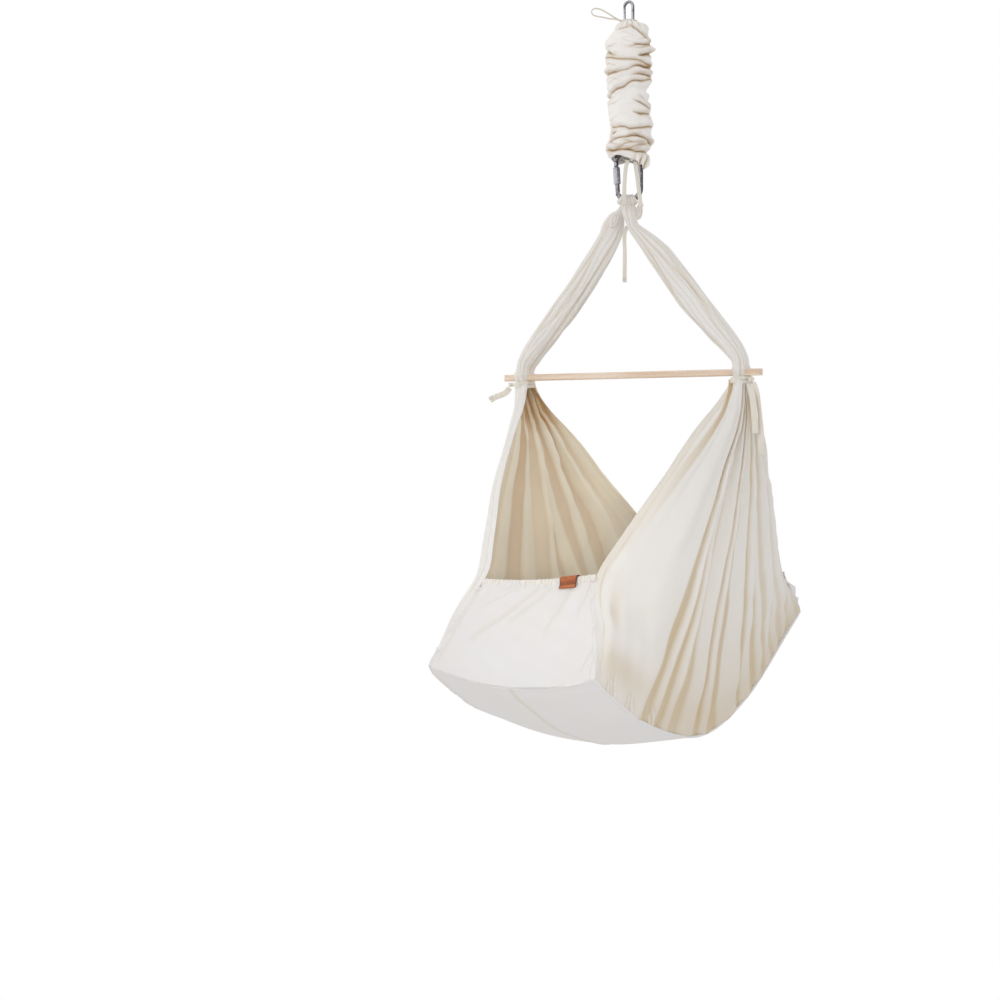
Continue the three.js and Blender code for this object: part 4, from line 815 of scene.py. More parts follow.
# %% The arms' tables
BOW = -0.3845
BOW_TO_BAR = 0.343
ARM_WIDE, ARM_DEEP, ARM_TOP_DEEP, ARM_ASIDE, ARM_CLOTH = 0.0255, 0.026, 0.0102, 0.012, 0.0014
ARM_RINGS, ARM_AROUND, LANDING = 150, 132, 12
RIGHT_ARM = {
    "fall": [0.026, 0.048, 0.083, 0.124, 0.162, 0.226, 0.284, 0.339, 0.456, 0.575, 0.738, 0.91, 1],
    "out": [-0.004, 0.004, 0.012, 0.034, 0.062, 0.153, 0.242, 0.312, 0.434, 0.566, 0.772, 0.98, 1],
    "aside": [0, -0.29, -0.75, -0.83, -0.83, -0.67, -0.42, -0.25, 0, 0, 0, 0.17, 0.25],
    "wide": [0.47, 0.5, 0.5, 0.42, 0.44, 0.64, 0.82, 0.94, 1, 1, 0.88, 0.62, 0.7],
    "deep": [0.23, 0.25, 0.31, 0.35, 0.38, 0.42, 0.46, 0.54, 0.62, 0.65, 0.73, 0.88, 1],
    "turn": [1, 1, 0.8, 0.6, 0.4, 0.2, 0, 0, 0, 0, 0, 0, 0],
}
LEFT_ARM = {
    "fall": [0.026, 0.048, 0.074, 0.103, 0.15, 0.205, 0.263, 0.339, 0.456, 0.575, 0.738, 0.91, 1],
    "out": [-0.037, -0.045, -0.066, -0.105, -0.141, -0.18, -0.234, -0.305, -0.426, -0.562, -0.762, -0.965, -1],
    "aside": [0, 0.33, 0.83, 1, 0.83, 0.67, 0.42, 0.25, 0, 0, 0, 0.17, 0.25],
    "wide": [0.2, 0.27, 0.39, 0.67, 0.86, 0.9, 0.94, 0.98, 1, 1, 0.92, 0.72, 0.75],
    "deep": [0.23, 0.25, 0.31, 0.38, 0.46, 0.5, 0.54, 0.58, 0.62, 0.65, 0.73, 0.88, 1],
    "turn": [1, 1, 0.8, 0.5, 0.3, 0.1, 0, 0, 0, 0, 0, 0, 0],
}
RIGHT_CREASES = [  # angle round the arm at its top, drift by the neck, depth as a share of the radius
    (0.6, 0.5, 0.16), (1.5, -0.4, 0.1), (2.4, 0.3, 0.14), (3.4, 0.7, 0.12), (4.3, -0.3, 0.18), (5.1, 0.35, 0.13),
    (5.8, -0.25, 0.1),
]
LEFT_CREASES = [
    (0.2, 0.6, 0.14), (1.2, 0.3, 0.12), (2.2, -0.5, 0.16), (3.1, 0.4, 0.1), (4.0, 0.45, 0.17), (4.75, -0.2, 0.12),
    (5.5, 0.5, 0.15),
]


def arm(name, node, table, creases, seed, top_half_wide):
    """The rolled arm: rings square to its middle line, squashed to the table's half sizes."""
    fall = np.array([0.0] + table["fall"] + [1 + NECK_RING_OUT / BOW_TO_BAR])
    out = np.array(table["out"][:1] + table["out"] + table["out"][-1:])
    place = np.concatenate([[0], np.cumsum(np.hypot(np.diff(fall), np.diff(out) * 0.75))])
    at = np.linspace(0, place[-1], ARM_RINGS)
    out, fallen = smooth_at(place, out, at) * NECK_OUT, smooth_at(place, fall, at)
    aside, turn, wide, deep = (smooth_at(place, [first] + table[key] + [last], at) for key, first, last in (
        ("aside", 0, table["aside"][-1]), ("turn", 1, 0), ("wide", top_half_wide / ARM_WIDE, table["wide"][-1]),
        ("deep", ARM_TOP_DEEP / ARM_DEEP, table["deep"][-1])))
    path = tilted(np.stack([out, aside * ARM_ASIDE, BOW - fallen * BOW_TO_BAR], axis=-1), CARABINER_TURN * turn, 0, 1)
    landing = np.linspace(1, 0, LANDING)[:, None]
    neck = np.array([NECK_OUT * np.sign(table["out"][-1]), NECK_RING_BACK])
    path[-LANDING:, :2] = path[-LANDING:, :2] * landing + neck * landing[::-1]
    lean = ease(fallen, 0.94, 1.01)[:, None]
    tangent = unit(unit(np.gradient(path, axis=0)) * (1 - lean) + np.array([0, 0, -1.0]) * lean)
    side = unit(np.cross(tangent, circle(1, CARABINER_TURN * turn + math.pi / 2, 0)))
    back = np.cross(side, tangent)
    low = fallen[:, None]
    pinch = 1 - 0.24 * ease(low, 0.86, 1.0) + 0.13 * bell(low - 0.985, 0.016)
    angle = turns(ARM_AROUND)[None, :]
    share = (at / at[-1])[:, None]
    sway = angle + 0.12 * wander(share * 1.5, 0 * share, seed + 8, 0.4)
    fine = np.abs(np.sin(7.5 * sway - 2.2 * share)) ** 0.6
    ridge = 1 + 0.028 * wander(angle * 0.35, share * 2.2, seed, 0.5) + 0.024 * np.cos(9 * sway + 5 * share)
    ridge = ridge + 0.045 * (fine - 0.7) + 0.07 * np.cos(5 * angle + seed) * bell(low - 0.985, 0.018)
    # painted shade in the fine folds and in each crease
    crease = 0.85 * np.clip(0.5 - fine, 0, 1) / 0.5
    for first, drift, depth_share in creases:
        middle = first + drift * share + 0.22 * wander(share, 0 * share + first, seed + 3, 0.6)
        gap = (angle - middle + math.pi) % FULL_TURN - math.pi
        size = depth_share * (0.55 + 0.45 * np.sin(math.pi * np.clip(share * 1.15, 0, 1)))
        ridge = ridge - size * bell(gap, 0.13) + 0.45 * size * bell(gap - 0.3, 0.2)
        crease = crease + 2.6 * size * bell(gap, 0.13)
    across = wide[:, None] * ARM_WIDE * pinch * ridge * np.cos(angle)
    high = deep[:, None] * ARM_DEEP * pinch * ridge * np.sin(angle)
    points = path[:, None] + side[:, None] * across[..., None] + back[:, None] * high[..., None]
    piece = grid_piece(name, points, canvas, "hammock", node, closed=True, thick=ARM_CLOTH,
                       marks={"crease": np.clip(crease, 0, 0.6)})


arm("right_arm", "right_side_cloth", RIGHT_ARM, RIGHT_CREASES, 41, 0.0115)
arm("left_arm", "left_side_cloth", LEFT_ARM, LEFT_CREASES, 57, 0.007)

# %% The loops over the carabiner's bow
BOW_BEND = 0.02375
LOOP_RADIUS, LOOP_CLOTH, LOOP_RINGS, LOOP_AROUND = 0.0088, 0.0012, 46, 72
EAR_POINTS, EAR_AROUND = 60, 24


def bow_loop(name, node, start, end, seed, puff):
    """A loop of cloth round the wire: a short tube carried along the bow, with folds that run
    round the wire, and bulged at its outer side."""
    along = np.linspace(start, end, LOOP_RINGS)
    rise = BOW_BEND - np.sqrt(BOW_BEND ** 2 - along ** 2)
    path = np.stack([along, 0 * along, BOW + rise - 0.0009], axis=-1)
    share = np.linspace(0, 1, LOOP_RINGS)[:, None]
    angle = turns(LOOP_AROUND)[None, :]
    stripes = np.abs(np.sin(math.pi * (share * 180 * (end - start) + 0.12 * np.sin(angle + seed)))) ** 0.7
    mouth = np.minimum(share, 1 - share) * 2
    radius = (LOOP_RADIUS - 0.0008 + 0.0016 * stripes + puff * np.sqrt(np.clip(mouth, 0, 1)))[..., None]
    across = np.array([0, 1.0, 0])
    up = np.cross(unit(np.gradient(path, axis=0)), across)[:, None]
    points = path[:, None] + across * radius * np.cos(angle)[..., None] + up * radius * np.sin(angle)[..., None]
    # painted shade between the folds round the wire
    piece = grid_piece(name, turned(points), canvas, "hammock", node, closed=True,
                       thick=LOOP_CLOTH, marks={"crease": 0.55 * (1 - stripes) ** 1.5})


def cloth_ear(name, node, middle, wide, tall, thick, lean, seed):
    """The end of the rolled cloth, pulled out as a small upright ring with lengthwise folds."""
    t, turn = turns(EAR_POINTS), turns(EAR_AROUND)
    line = tilted(np.stack([wide * np.cos(t), 0.004 * np.sin(t), tall * np.sin(t)], axis=-1), lean, 0, 2)
    fold = thick * (1 + 0.16 * np.cos(4 * turn + seed))
    section = np.stack([1.6 * fold * np.cos(turn), fold * np.sin(turn)], axis=-1)
    # painted shade in the hollows of the lengthwise folds
    grid_piece(name, turned(carry(line, section, (0, 1, 0), looped=True) + np.array(middle)), canvas, "hammock",
               node, closed=True, marks={"crease": 0.5 * np.clip(-np.cos(4 * turn + seed), 0, 1)})


bow_loop("right_loop", "right_side_cloth", -0.0135, 0.0135, 2.0, 0.0022)
bow_loop("left_loop", "left_side_cloth", -0.0160, -0.0080, 4.0, 0.0030)
cloth_ear("right_ear", "right_side_cloth", (0.0205, -0.008, -0.4085), 0.0024, 0.0108, 0.0040, -0.12, 1.0)
cloth_ear("left_ear", "left_side_cloth", (-0.0290, -0.006, -0.4265), 0.0028, 0.0095, 0.0043, -0.35, 2.5)
print("loops made")

# %% [markdown]
# ## The spring and its cover
# The extension spring hangs from the snap hook and carries the carabiner. Over it goes a
# loose cotton cover, drawn in at the top by a string. It is drawn from two silhouettes read
# off the photograph, left and right, and from creases: each crease runs round part of the
# cover at a height that changes with the angle, and presses a V-shaped line into it.

# %% The cover's tables
FACING = math.radians(-56)  # the side of the cover that faces the camera
COVER_HEIGHTS = [36, 42, 50, 60, 72, 84, 94, 106, 120, 134, 148, 162, 172, 180, 190, 202, 214, 226, 240, 252,
                 262, 272, 280, 290, 302, 316]  # mm below the hook's seat
RIGHT_RADIUS = [16, 30, 38, 38, 39, 44, 47, 41, 44, 43, 45, 40, 33, 40, 38, 43, 42, 44, 48, 43, 45, 48, 42, 36, 37, 35]
LEFT_RADIUS = [14, 20, 26, 33, 42, 46, 41, 45, 43, 45, 41, 42, 40, 39, 38, 39, 39, 37, 35, 35, 37, 40, 43, 43, 37, 31]
CREASES = [  # for each: angles from the camera's side, heights and depths, in degrees and mm
    ([-8, 8, 27, 45, 75, 110], [46, 48, 55, 68, 78, 84], [0, 3, 5, 8, 9, 0]),
    ([8, 19, 45, 70, 120], [85, 85, 85, 85, 85], [0, 3, 4, 6, 0]),
    ([-100, -60, -45, -20], [98, 100, 104, 106], [0, 6, 3, 0]),
    ([20, 36, 60, 90, 130], [109, 107, 102, 99, 97], [0, 6, 9, 6, 0]),
    ([-90, -60, 0, 66, 110], [106, 109, 116, 122.5, 125], [3, 4, 4, 6, 0]),
    ([0, 20, 36, 66, 110], [133, 129, 128, 129, 132], [2, 5, 9, 10, 0]),
    ([-100, -70, -40, -10, 10], [143, 140, 138, 136, 134], [4, 6, 5, 3, 0]),
    ([0, 27, 66, 100], [145, 142, 144, 146], [0, 5, 6, 0]),
    ([-100, -62, -40, -8, 36, 60, 100], [188, 183, 173, 163, 155, 152, 150], [3, 9, 6, 5, 5, 4, 0]),
    ([8, 36, 66, 100], [190, 198, 206, 208], [0, 6, 6, 0]),
    ([19, 36, 66, 90], [216, 218, 218, 216], [3, 7, 4, 0]),
    ([-60, -10, 5, 66, 110], [243, 245, 249, 244, 243], [4, 4, 4, 5, 0]),
    ([-70, -51, -30], [261, 258, 252], [0, 6, 0]),
    ([-60, -10, 10, 36, 60, 90], [270, 266, 262, 266, 273, 278], [4, 4, 6, 7, 11, 5]),
    ([-35, -8, 36], [287, 278, 274], [2, 3, 2]),
    ([-5, 15, 45], [289, 283, 278], [2, 3, 3]),
    ([-75, -51, -10, 25, 45, 90], [288, 290, 288, 292, 293, 293], [5, 7, 4, 5, 6, 3]),
]
BACK_CREASES = [70, 100, 128, 155, 185, 214, 240, 268, 290]
SMALL_CREASES = 120
COVER_MOUTH, COVER_FOOT, COVER_CLOTH, COVER_FLAT = 36, 302, 0.0013, 0.29
COVER_RINGS, COVER_AROUND = 234, 208
CREASE_SCALE, CREASE_HALF, LIP_OUT, LIP_HALF = 1.2, 2.6, 7.5, 3.6
SMALL_TOP, SMALL_SPAN = 46, 255
print(len(CREASES), "creases in front,", len(BACK_CREASES), "behind and", SMALL_CREASES, "small ones")

# %% Make the cover
def angle_seen(angle):
    """An angle counted from the side that faces the camera, between minus and plus half a turn."""
    return (angle - FACING + math.pi) % FULL_TURN - math.pi


def cover_surface(angle, below):
    """Distance from the axis at every height and angle, in mm: the two silhouettes mixed by
    the squared sine of the angle, less every crease's narrow V, less a scatter of short
    crumples, with small folds at the drawn mouth. Also how much painted shade each point gets, in the creases and the
    mouth's folds."""
    seen = angle_seen(angle) + 0 * below
    right, left = (smooth_at(COVER_HEIGHTS, radii, below.ravel()).reshape(below.shape)
                   for radii in (RIGHT_RADIUS, LEFT_RADIUS))
    bow, front = np.sin(seen), 0.5 * (right + left)
    radius = front + (right - front) * np.clip(bow, 0, 1) ** 2 + (left - front) * np.clip(-bow, 0, 1) ** 2
    degrees = np.degrees(seen)
    dark = 0 * radius
    for number, (at, heights, depths) in enumerate(CREASES):
        middle = smooth_at(at, heights, degrees.ravel()).reshape(degrees.shape)
        gap = below - middle - 1.6 * wander(seen, 0 * seen, 60 + number, 0.9)
        deep = CREASE_SCALE * np.interp(degrees, at, depths)
        deep = deep * ease(degrees, at[0] - 12, at[0]) * (1 - ease(degrees, at[-1], at[-1] + 12))
        size = np.abs(gap)
        radius = radius - deep * np.exp(-size / CREASE_HALF) + 0.42 * deep * bell(size - LIP_OUT, LIP_HALF)
        dark = dark + 0.2 * deep * np.exp(-np.abs(gap - 0.8) / 1.6) + 0.02 * deep * np.exp(-size / 5)
    dice = np.random.default_rng(404)
    for start, height, wide, slope, deep, thin in dice.uniform(0, 1, (SMALL_CREASES, 6)):
        offset = (degrees - start * 360 + 360) % 360 - 180
        line = SMALL_TOP + SMALL_SPAN * height + (slope - 0.5) * 0.42 * offset + 2.0 * np.sin(offset / 11 + 7 * slope)
        gap = np.abs(below - line)
        deep = (0.8 + 2.4 * deep ** 2) * bell(offset, 14 + 22 * wide)
        radius = radius - deep * np.exp(-gap / (0.8 + 1.2 * thin)) + 0.35 * deep * bell(gap - 3.8, 1.9)
        dark = dark + 0.2 * deep * np.exp(-gap / 1.2)
    behind = ease(-np.cos(seen), 0.0, 0.55)
    for number, height in enumerate(BACK_CREASES):
        middle = height + 7 * np.sin(1.5 * seen + 2.1 * number) + 2 * wander(seen, 0 * seen, 80 + number, 0.6)
        gap = np.abs(below - middle)
        size = 6.0 + 1.5 * np.sin(3 * seen + 1.7 * number)
        radius = radius - size * behind * np.exp(-gap / 4.0)
        dark = dark + 0.5 * behind * np.exp(-gap / 1.8)
    mouth = 1 - ease(below, 38, 62)
    folds = np.sin(15 * seen + 0.8 * np.sin(2 * seen))
    radius = radius * (1 + 0.10 * mouth * folds * ease(below, 34, 42)) + 0.9 * wander(seen * 0.8, below / 40, 9, 0.5)
    radius = radius + ease(below, 285, 306) * (1.8 * np.sin(11 * seen + 1) + 1.5 * np.sin(6 * seen))
    return radius, np.clip(dark + 0.35 * mouth * np.clip(-folds, 0, 1), 0, 0.9)


cover_angle = turns(COVER_AROUND)[None, :]
seen_round = angle_seen(cover_angle)
knot_side = bell(seen_round - math.radians(52), 0.55)
hem_line = COVER_FOOT + (21 + 4 * np.sin(13 * seen_round)) * knot_side + 2.5 * np.sin(5 * cover_angle) \
    + 7 * ease(-np.cos(seen_round), 0.1, 0.8)
below = COVER_MOUTH + np.linspace(0, 1, COVER_RINGS)[:, None] * (hem_line - COVER_MOUTH)
radius, dark = cover_surface(cover_angle, below)
tuck = knot_side * ease(below, 290, 312)
tuck_wave = np.sin(16 * seen_round + 0.06 * below)
radius = radius + tuck * (3 + 3.4 * tuck_wave + 1.6 * np.sin(27 * seen_round))
# painted shade in the hollows of the tucked folds by the knot
dark = np.clip(dark + 0.9 * tuck * np.clip(-tuck_wave, 0, 1), 0, 0.95)
cover_points = circle(radius, cover_angle, -below) / 1000
spring_cover = grid_piece("cover", cover_points, cover_cotton, closed=True, thick=COVER_CLOTH, marks={"crease": dark})
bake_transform(spring_cover)
stand_for(spring_cover, "spring_cover")

# %% The upper drawstring
STRING_ROUND, STRING_HEIGHT, STRING_HALF, STRING_STEPS = 0.0156, -0.0345, 0.00135, 160
string_angle, string_turn = turns(STRING_STEPS), turns(16)
strands = 1 + 0.1 * np.cos(3 * (string_turn + 38 * string_angle[:, None] / 3))
string_line = circle(STRING_ROUND, string_angle, STRING_HEIGHT)
string_points = carry(string_line, circle(STRING_HALF * strands, string_turn, 0)[..., :2], (0, 0, 1), looped=True)
grid_piece("drawstring", string_points, tape_cotton, "spring_unit", "cover_drawstring", closed=True)
print("drawstring made")

# %% The spring
SPRING_WIRE, COIL_RADIUS, EYE_RADIUS, TURNS = 0.0045, 0.017, 0.010, 16
UPPER_EYE, LOWER_EYE, EYE_TO_COIL, LEAVE_OUT, LEAVE_SHARE = -0.05545, -0.2848, 0.016, 0.00434, 0.6
COIL_STEPS, SPRING_STEPS, WIRE_AROUND = 420, 900, 14


def spring_path():
    """Upper eye, coil and lower eye as one line: an eye is three quarters of a circle in an
    upright plane, and the coil is a helix between them."""
    lean = math.pi / 2 - 1.5 * math.pi * (1 - np.linspace(0, 1, 28))
    eyes, leaves = [], []
    for across, eye, way in (([0.0, 1.0, 0.0], UPPER_EYE, 1), (turned([0.0, 1.0, 0.0]), LOWER_EYE, -1)):
        circle_line = np.array(across) * EYE_RADIUS * np.sin(lean)[:, None]
        circle_line[:, 2] = eye + way * EYE_RADIUS * np.cos(lean)
        leave = np.array([across]) * (EYE_RADIUS + LEAVE_OUT)
        leave[:, 2] = eye - way * EYE_TO_COIL * LEAVE_SHARE
        eyes.append(circle_line)
        leaves.append(leave)
    share = np.linspace(0, 1, COIL_STEPS)
    top, foot = UPPER_EYE - EYE_TO_COIL, LOWER_EYE + EYE_TO_COIL
    coil = circle(COIL_RADIUS, math.pi / 2 + (FULL_TURN * TURNS + CARABINER_TURN) * share, top + (foot - top) * share)
    return np.concatenate([eyes[0], leaves[0], coil, leaves[1], eyes[1][::-1]])


spring_line = smooth_path(spring_path(), SPRING_STEPS)
wire_section = ring_section(SPRING_WIRE / 2, SPRING_WIRE / 2, WIRE_AROUND)
spring = grid_piece("spring", carry(spring_line, wire_section, (1, 0, 0)), spring_steel, closed=True, caps=True)
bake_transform(spring)
stand_for(spring, "extension_spring")
print("spring wire", round(path_length(spring_line), 2), "m")

# %% [markdown]
# ## The hook and the carabiner
# Both bodies are one bent bar. The bar's line is the same pair of arcs as in the CAD source,
# drawn with far more points and a round section, and its nose narrows into the gate's slot.

# %% Bent wire bodies
CARABINER = {"width": 58, "height": 108, "wire": 10.5, "gate": 9, "nose": 9.5, "nose_height": 17, "pivot_drop": 37,
             "tongue": 4}
SNAP_HOOK = {"width": 26, "height": 60, "wire": 6, "gate": 5, "nose": 4, "nose_height": 13, "pivot_drop": 19.5,
             "tongue": 2.2}
ARC_POINTS, ROD_RINGS, ROD_AROUND = 60, 170, 28
CARABINER_MIDDLE, HOOK_MIDDLE = -335.75, -24  # mm


def joined(name, grids, material, body, node):
    """Several closed grids as one object, on its body and in the place of a CAD node."""
    bpy.ops.object.select_all(action="DESELECT")
    pieces = [grid_piece(f"{name}_{number}", points, material, closed=True, caps=caps)
              for number, (points, caps) in enumerate(grids)]
    for piece in pieces:
        piece.select_set(True)
    bpy.context.view_layer.objects.active = pieces[0]
    bpy.ops.object.join()
    pieces[0].name = name
    stand_for(pieces[0], node, body)


def wire_body(name, spec, node, body, height, share):
    """The bent bar from the nose, over the top and round the foot to the gate's pivot, with
    its nose pin and the tongue at the pivot."""
    bend = (spec["width"] - spec["wire"]) / 2
    straight = (spec["height"] - spec["wire"]) / 2 - bend
    below = spec["pivot_drop"] - straight
    pivot = np.array([-math.sqrt(bend ** 2 - below ** 2), 0, -spec["pivot_drop"]])
    mouth = np.array([-bend, 0, spec["nose_height"]])
    rise = unit(mouth - pivot)
    root = mouth + rise * spec["nose"]
    first = math.asin((root[2] - straight) / bend)
    turn = np.linspace(0, 1, ARC_POINTS)
    arcs = []
    for angle, middle in (((math.pi - first) * (1 - turn), straight),
                          (-(math.pi - math.asin(below / bend)) * turn, -straight)):
        arcs.append(np.stack([bend * np.cos(angle), 0 * angle, middle + bend * np.sin(angle)], axis=-1))
    path = smooth_path(np.concatenate([root[None], arcs[0][1:], arcs[1]]), ROD_RINGS)
    walked = np.linspace(0, path_length(path), len(path))
    size = (1 - 0.35 * bell(walked, 0.35 * spec["wire"])) * (1 - 0.25 * bell(walked[-1] - walked, 0.3 * spec["wire"]))
    rods = [carry(path, ring_section(1, 1, ROD_AROUND) * (size * spec["wire"] / 2)[:, None, None], (0, 1, 0))]
    half = np.array([0, spec["tongue"] / 2, 0])
    nose, tongue = (mouth + rise * 0.2, root + rise * 0.3), (pivot - half, pivot + half)
    for (start, end), side in ((nose, (0, 1, 0)), (tongue, (0, 0, 1))):
        line = start + (end - start) * np.linspace(0, 1, 6)[:, None]
        rods.append(carry(line, ring_section(spec["gate"] / 2, spec["gate"] / 2, ROD_AROUND), side))
    joined(name, [(turned((rod + [0, 0, height]) / 1000, share), True) for rod in rods], steel, body, node)


wire_body("carabiner", CARABINER, "carabiner_body", "carabiner", CARABINER_MIDDLE, 1)
wire_body("snap_hook", SNAP_HOOK, "top_hook_body", "hook", HOOK_MIDDLE, 0)
print("hook and carabiner made")

# %% [markdown]
# ## The end panels
# Each end of the cradle is closed by a low cloth, sewn to the walls' edges and the base. Its
# top edge is a casing gathered on elastic. The panel's sheet hangs between the wall edges with
# a dip and a slight belly, and the gathers of the casing run on as short soft folds.

# %% Panel shapes
PANEL_TOP_ROW, LOWER_CORNER, HEM_RADIUS = 0.572, 0.036, 0.0055
PANEL_CLOTH, CASING_CLOTH = 0.0018, 0.0011
BELLY, SEAM_LIFT, SEAM_FLAT, EDGE_OUT, SEAM_IN, PANEL_DROP = 0.006, 0.0033, 0.0025, 0.0012, 0.008, 0.0042
PANEL_GATHER_DEEP, PANEL_GATHER_WAVE, CASING_WAVE, REAR_BULGE = 0.0021, 0.0105, 0.0086, 0.026
CASING_RINGS, CASING_AROUND = 436, 28
FRONT_FOLDS = [  # start (across, down), end (across, down), width and size in mm
    ((0.92, 0.06), (0.76, 0.36), 0.05, 2.6), ((0.95, 0.74), (0.84, 0.9), 0.05, 2.4),
    ((0.02, 0.06), (-0.62, 0.62), 0.12, 2.6), ((0.24, 0.08), (-0.2, 0.4), 0.10, 2.0),
    ((-0.93, 0.1), (-0.9, 0.9), 0.05, 2.2), ((0.6, 0.1), (0.35, 0.5), 0.10, 2.0),
    ((-0.3, 0.05), (-0.7, 0.3), 0.08, 1.6),
]
REAR_FOLDS = [
    ((-0.9, 0.1), (-0.6, 0.6), 0.10, 4.0), ((0.9, 0.1), (0.8, 0.9), 0.08, 4.0), ((0.3, 0.05), (0.5, 0.7), 0.13, 2.6),
    ((-0.2, 0.1), (-0.05, 0.8), 0.12, 2.4), ((-0.55, 0.1), (-0.4, 0.9), 0.12, 2.2),
]


def wall_edge(end, rows):
    """The wall's front or rear edge at each row, for the right side."""
    return wall_middle(1, np.array([0.0 if end == "front" else 1.0]), rows)[:, 0]


def panel_middle(end, across, down):
    """The panel's middle surface: straight between the walls' edges, dipping in the middle and
    bellied outwards between the casing and the base. The front one's left corner is buttoned
    lower than its right corner."""
    rows = PANEL_TOP_ROW + (1 - PANEL_TOP_ROW) * down
    knots = np.linspace(0, 1, 11)
    edge = points_at(rows, knots, wall_edge(end, knots))
    run = np.gradient(edge, axis=0)
    outward = unit(np.stack([0 * run[:, 0], run[:, 2], -run[:, 1]], axis=-1))
    outward *= np.sign(outward[len(outward) // 2, 1]) * (-1 if end == "front" else 1)
    hang = 1 - across ** 2
    lift = SEAM_LIFT - SEAM_FLAT * ease(np.abs(across), 0.955, 0.99)
    bulge = BELLY * hang * np.sin(math.pi * down)[:, None] + lift
    points = np.empty((len(down), len(across), 3))
    points[..., 0] = across * (edge[:, None, 0] + EDGE_OUT)
    points[..., 1] = edge[:, None, 1]
    points[..., 2] = edge[:, None, 2] - (8 + 20 * down)[:, None] * hang / 1000
    points = points + outward[:, None] * bulge[..., None]
    if end == "front":
        slide = LOWER_CORNER * ((1 - across) / 2) ** 1.3 * (1 - down)[:, None] ** 1.5
        slope = (run / np.gradient(rows)[:, None])[:, None]
        points = points + slope * slide[..., None] * [0, 1, 1]
        points[..., 0] += slide * slope[..., 0] * across
    return points, outward


def top_line(end, across):
    """The panel's middle surface along its top edge."""
    return panel_middle(end, across, np.array([0.0, 0.02, 0.04]))[0][0]


def panel(end, folds, seed):
    """The panel's cloth: gathers that fade below the casing, slanted soft folds, a crushed
    line beside each seam and a stitch line along them."""
    across, down = np.linspace(-1, 1, 210), np.linspace(0, 1, 84)
    middle, outward = panel_middle(end, across, down)
    over, low = across[None, :], down[:, None]
    reach, depth = line_lengths(middle, 1), line_lengths(middle, 0)
    uneven = np.clip(0.55 + 0.6 * wander(reach, 0 * low, seed + 7, 0.05), 0.1, 1.2)
    length = 0.010 + 0.016 * np.clip(0.5 + 0.6 * wander(reach, 0 * low, seed + 9, 0.03), 0, 1.2)
    phase = (reach + 0.005 * wander(reach, low * 0.15, seed, 0.035)) / PANEL_GATHER_WAVE + 0.8 * depth / 0.05
    gather = PANEL_GATHER_DEEP * uneven * np.exp(-depth / length) * np.sin(FULL_TURN * phase)
    soft = 0.0026 * wander(reach, depth * 0.6, seed + 1, 0.13) + 0.0009 * wander(reach, depth, seed + 2, 0.045)
    # painted shade in the hollows of the gathers and along each slanted fold
    crease = 0.4 * np.clip(-gather / 0.0022, 0, 1)
    height = gather + soft
    for start, finish, width, size in folds:
        line = start[0] + (finish[0] - start[0]) * np.clip((low - start[1]) / (finish[1] - start[1]), 0, 1)
        fade = ease(low, start[1] - 0.12, start[1] + 0.05) * (1 - ease(low, finish[1] - 0.05, finish[1] + 0.12))
        gap = (over - line) / width
        height = height + size / 1000 * fade * (0.7 * bell(gap - 0.9, 1) - bell(gap, 0.5))
        crease = crease + 0.4 * fade * bell(gap, 0.45) * (size / 5)
    edge = ease(1 - np.abs(over), 0, 0.04)
    if end == "rear":
        height = height + REAR_BULGE * ease(over, 0.72, 0.93) * bell(low - 0.42, 0.25)
    points = middle + outward[:, None] * (height * edge)[..., None]
    points[..., 2] -= PANEL_DROP * ease(low, 0.96, 1.0)
    side_line = stitch_line((1 - np.abs(over)) * 0.16 - SEAM_IN, WIDE_STITCH_HALF)
    piece = grid_piece(f"{end}_cloth", points, base_cotton, "hammock", f"{end}_panel",
                       thick=PANEL_CLOTH, marks={"stitch": 0.5 * side_line, "crease": np.clip(crease * edge, 0, 0.8)})
    width, tall = float(reach[:, -1].mean()), float(depth[-1].mean())
    print(end, "panel", round(width * 1000), "x", round(tall * 1000), "mm")


def casing(end, reaches, seed):
    """The elastic's casing: a soft tube along the panel's top, closely gathered, a little
    flattened, and pulled thinner by the elastic between its gathers."""
    across = np.linspace(-reaches, reaches, CASING_RINGS)
    line = top_line(end, across)
    reach = distances(line)[:, None]
    angle = turns(CASING_AROUND)[None, :]
    phase = reach / CASING_WAVE + 0.5 * wander(reach, 0.01 * np.cos(angle), seed, 0.035)
    wave = np.sin(FULL_TURN * phase + 0.5 * np.sin(angle))
    radius = HEM_RADIUS * (0.93 + 0.08 * wave + 0.05 * np.sin(FULL_TURN * phase * 0.47 + angle))
    radius = radius * (0.25 + 0.75 * ease(reaches - np.abs(across), 0, 0.03)[:, None])
    section = np.stack([radius * np.cos(angle) * 1.12, radius * np.sin(angle) * 0.8], axis=-1)
    points = carry(line, section, (0, 0, 1))
    # painted shade in the hollows of the gathers
    piece = grid_piece(f"{end}_casing", points, canvas, "hammock", f"{end}_panel", closed=True,
                       thick=CASING_CLOTH, marks={"crease": 0.4 * np.clip(-wave, 0, 1)})


panel("front", FRONT_FOLDS, 71)
panel("rear", REAR_FOLDS, 83)
casing("front", 0.985, 91)
casing("rear", 0.955, 97)
for end in ("front", "rear"):
    grid_piece(f"{end}_elastic", carry(top_line(end, np.linspace(-0.93, 0.93, 120)),
                                       ring_section(0.003, 0.0008, 14, power=4), (0, 0, 1)),
               elastic_web, "hammock", f"{end}_hem_elastic", closed=True, caps=True)
print("casings and elastics made")

# %% [markdown]
# ## The base, its piping and the mattress pad
# The base hangs between the two walls' lower edges in a shallow sag, with one seam along its
# middle. A thin covered cord is sewn into the seam all round. The pad inside is a flat
# quilted cushion, thinner at its rounded edge, lying in the sag.

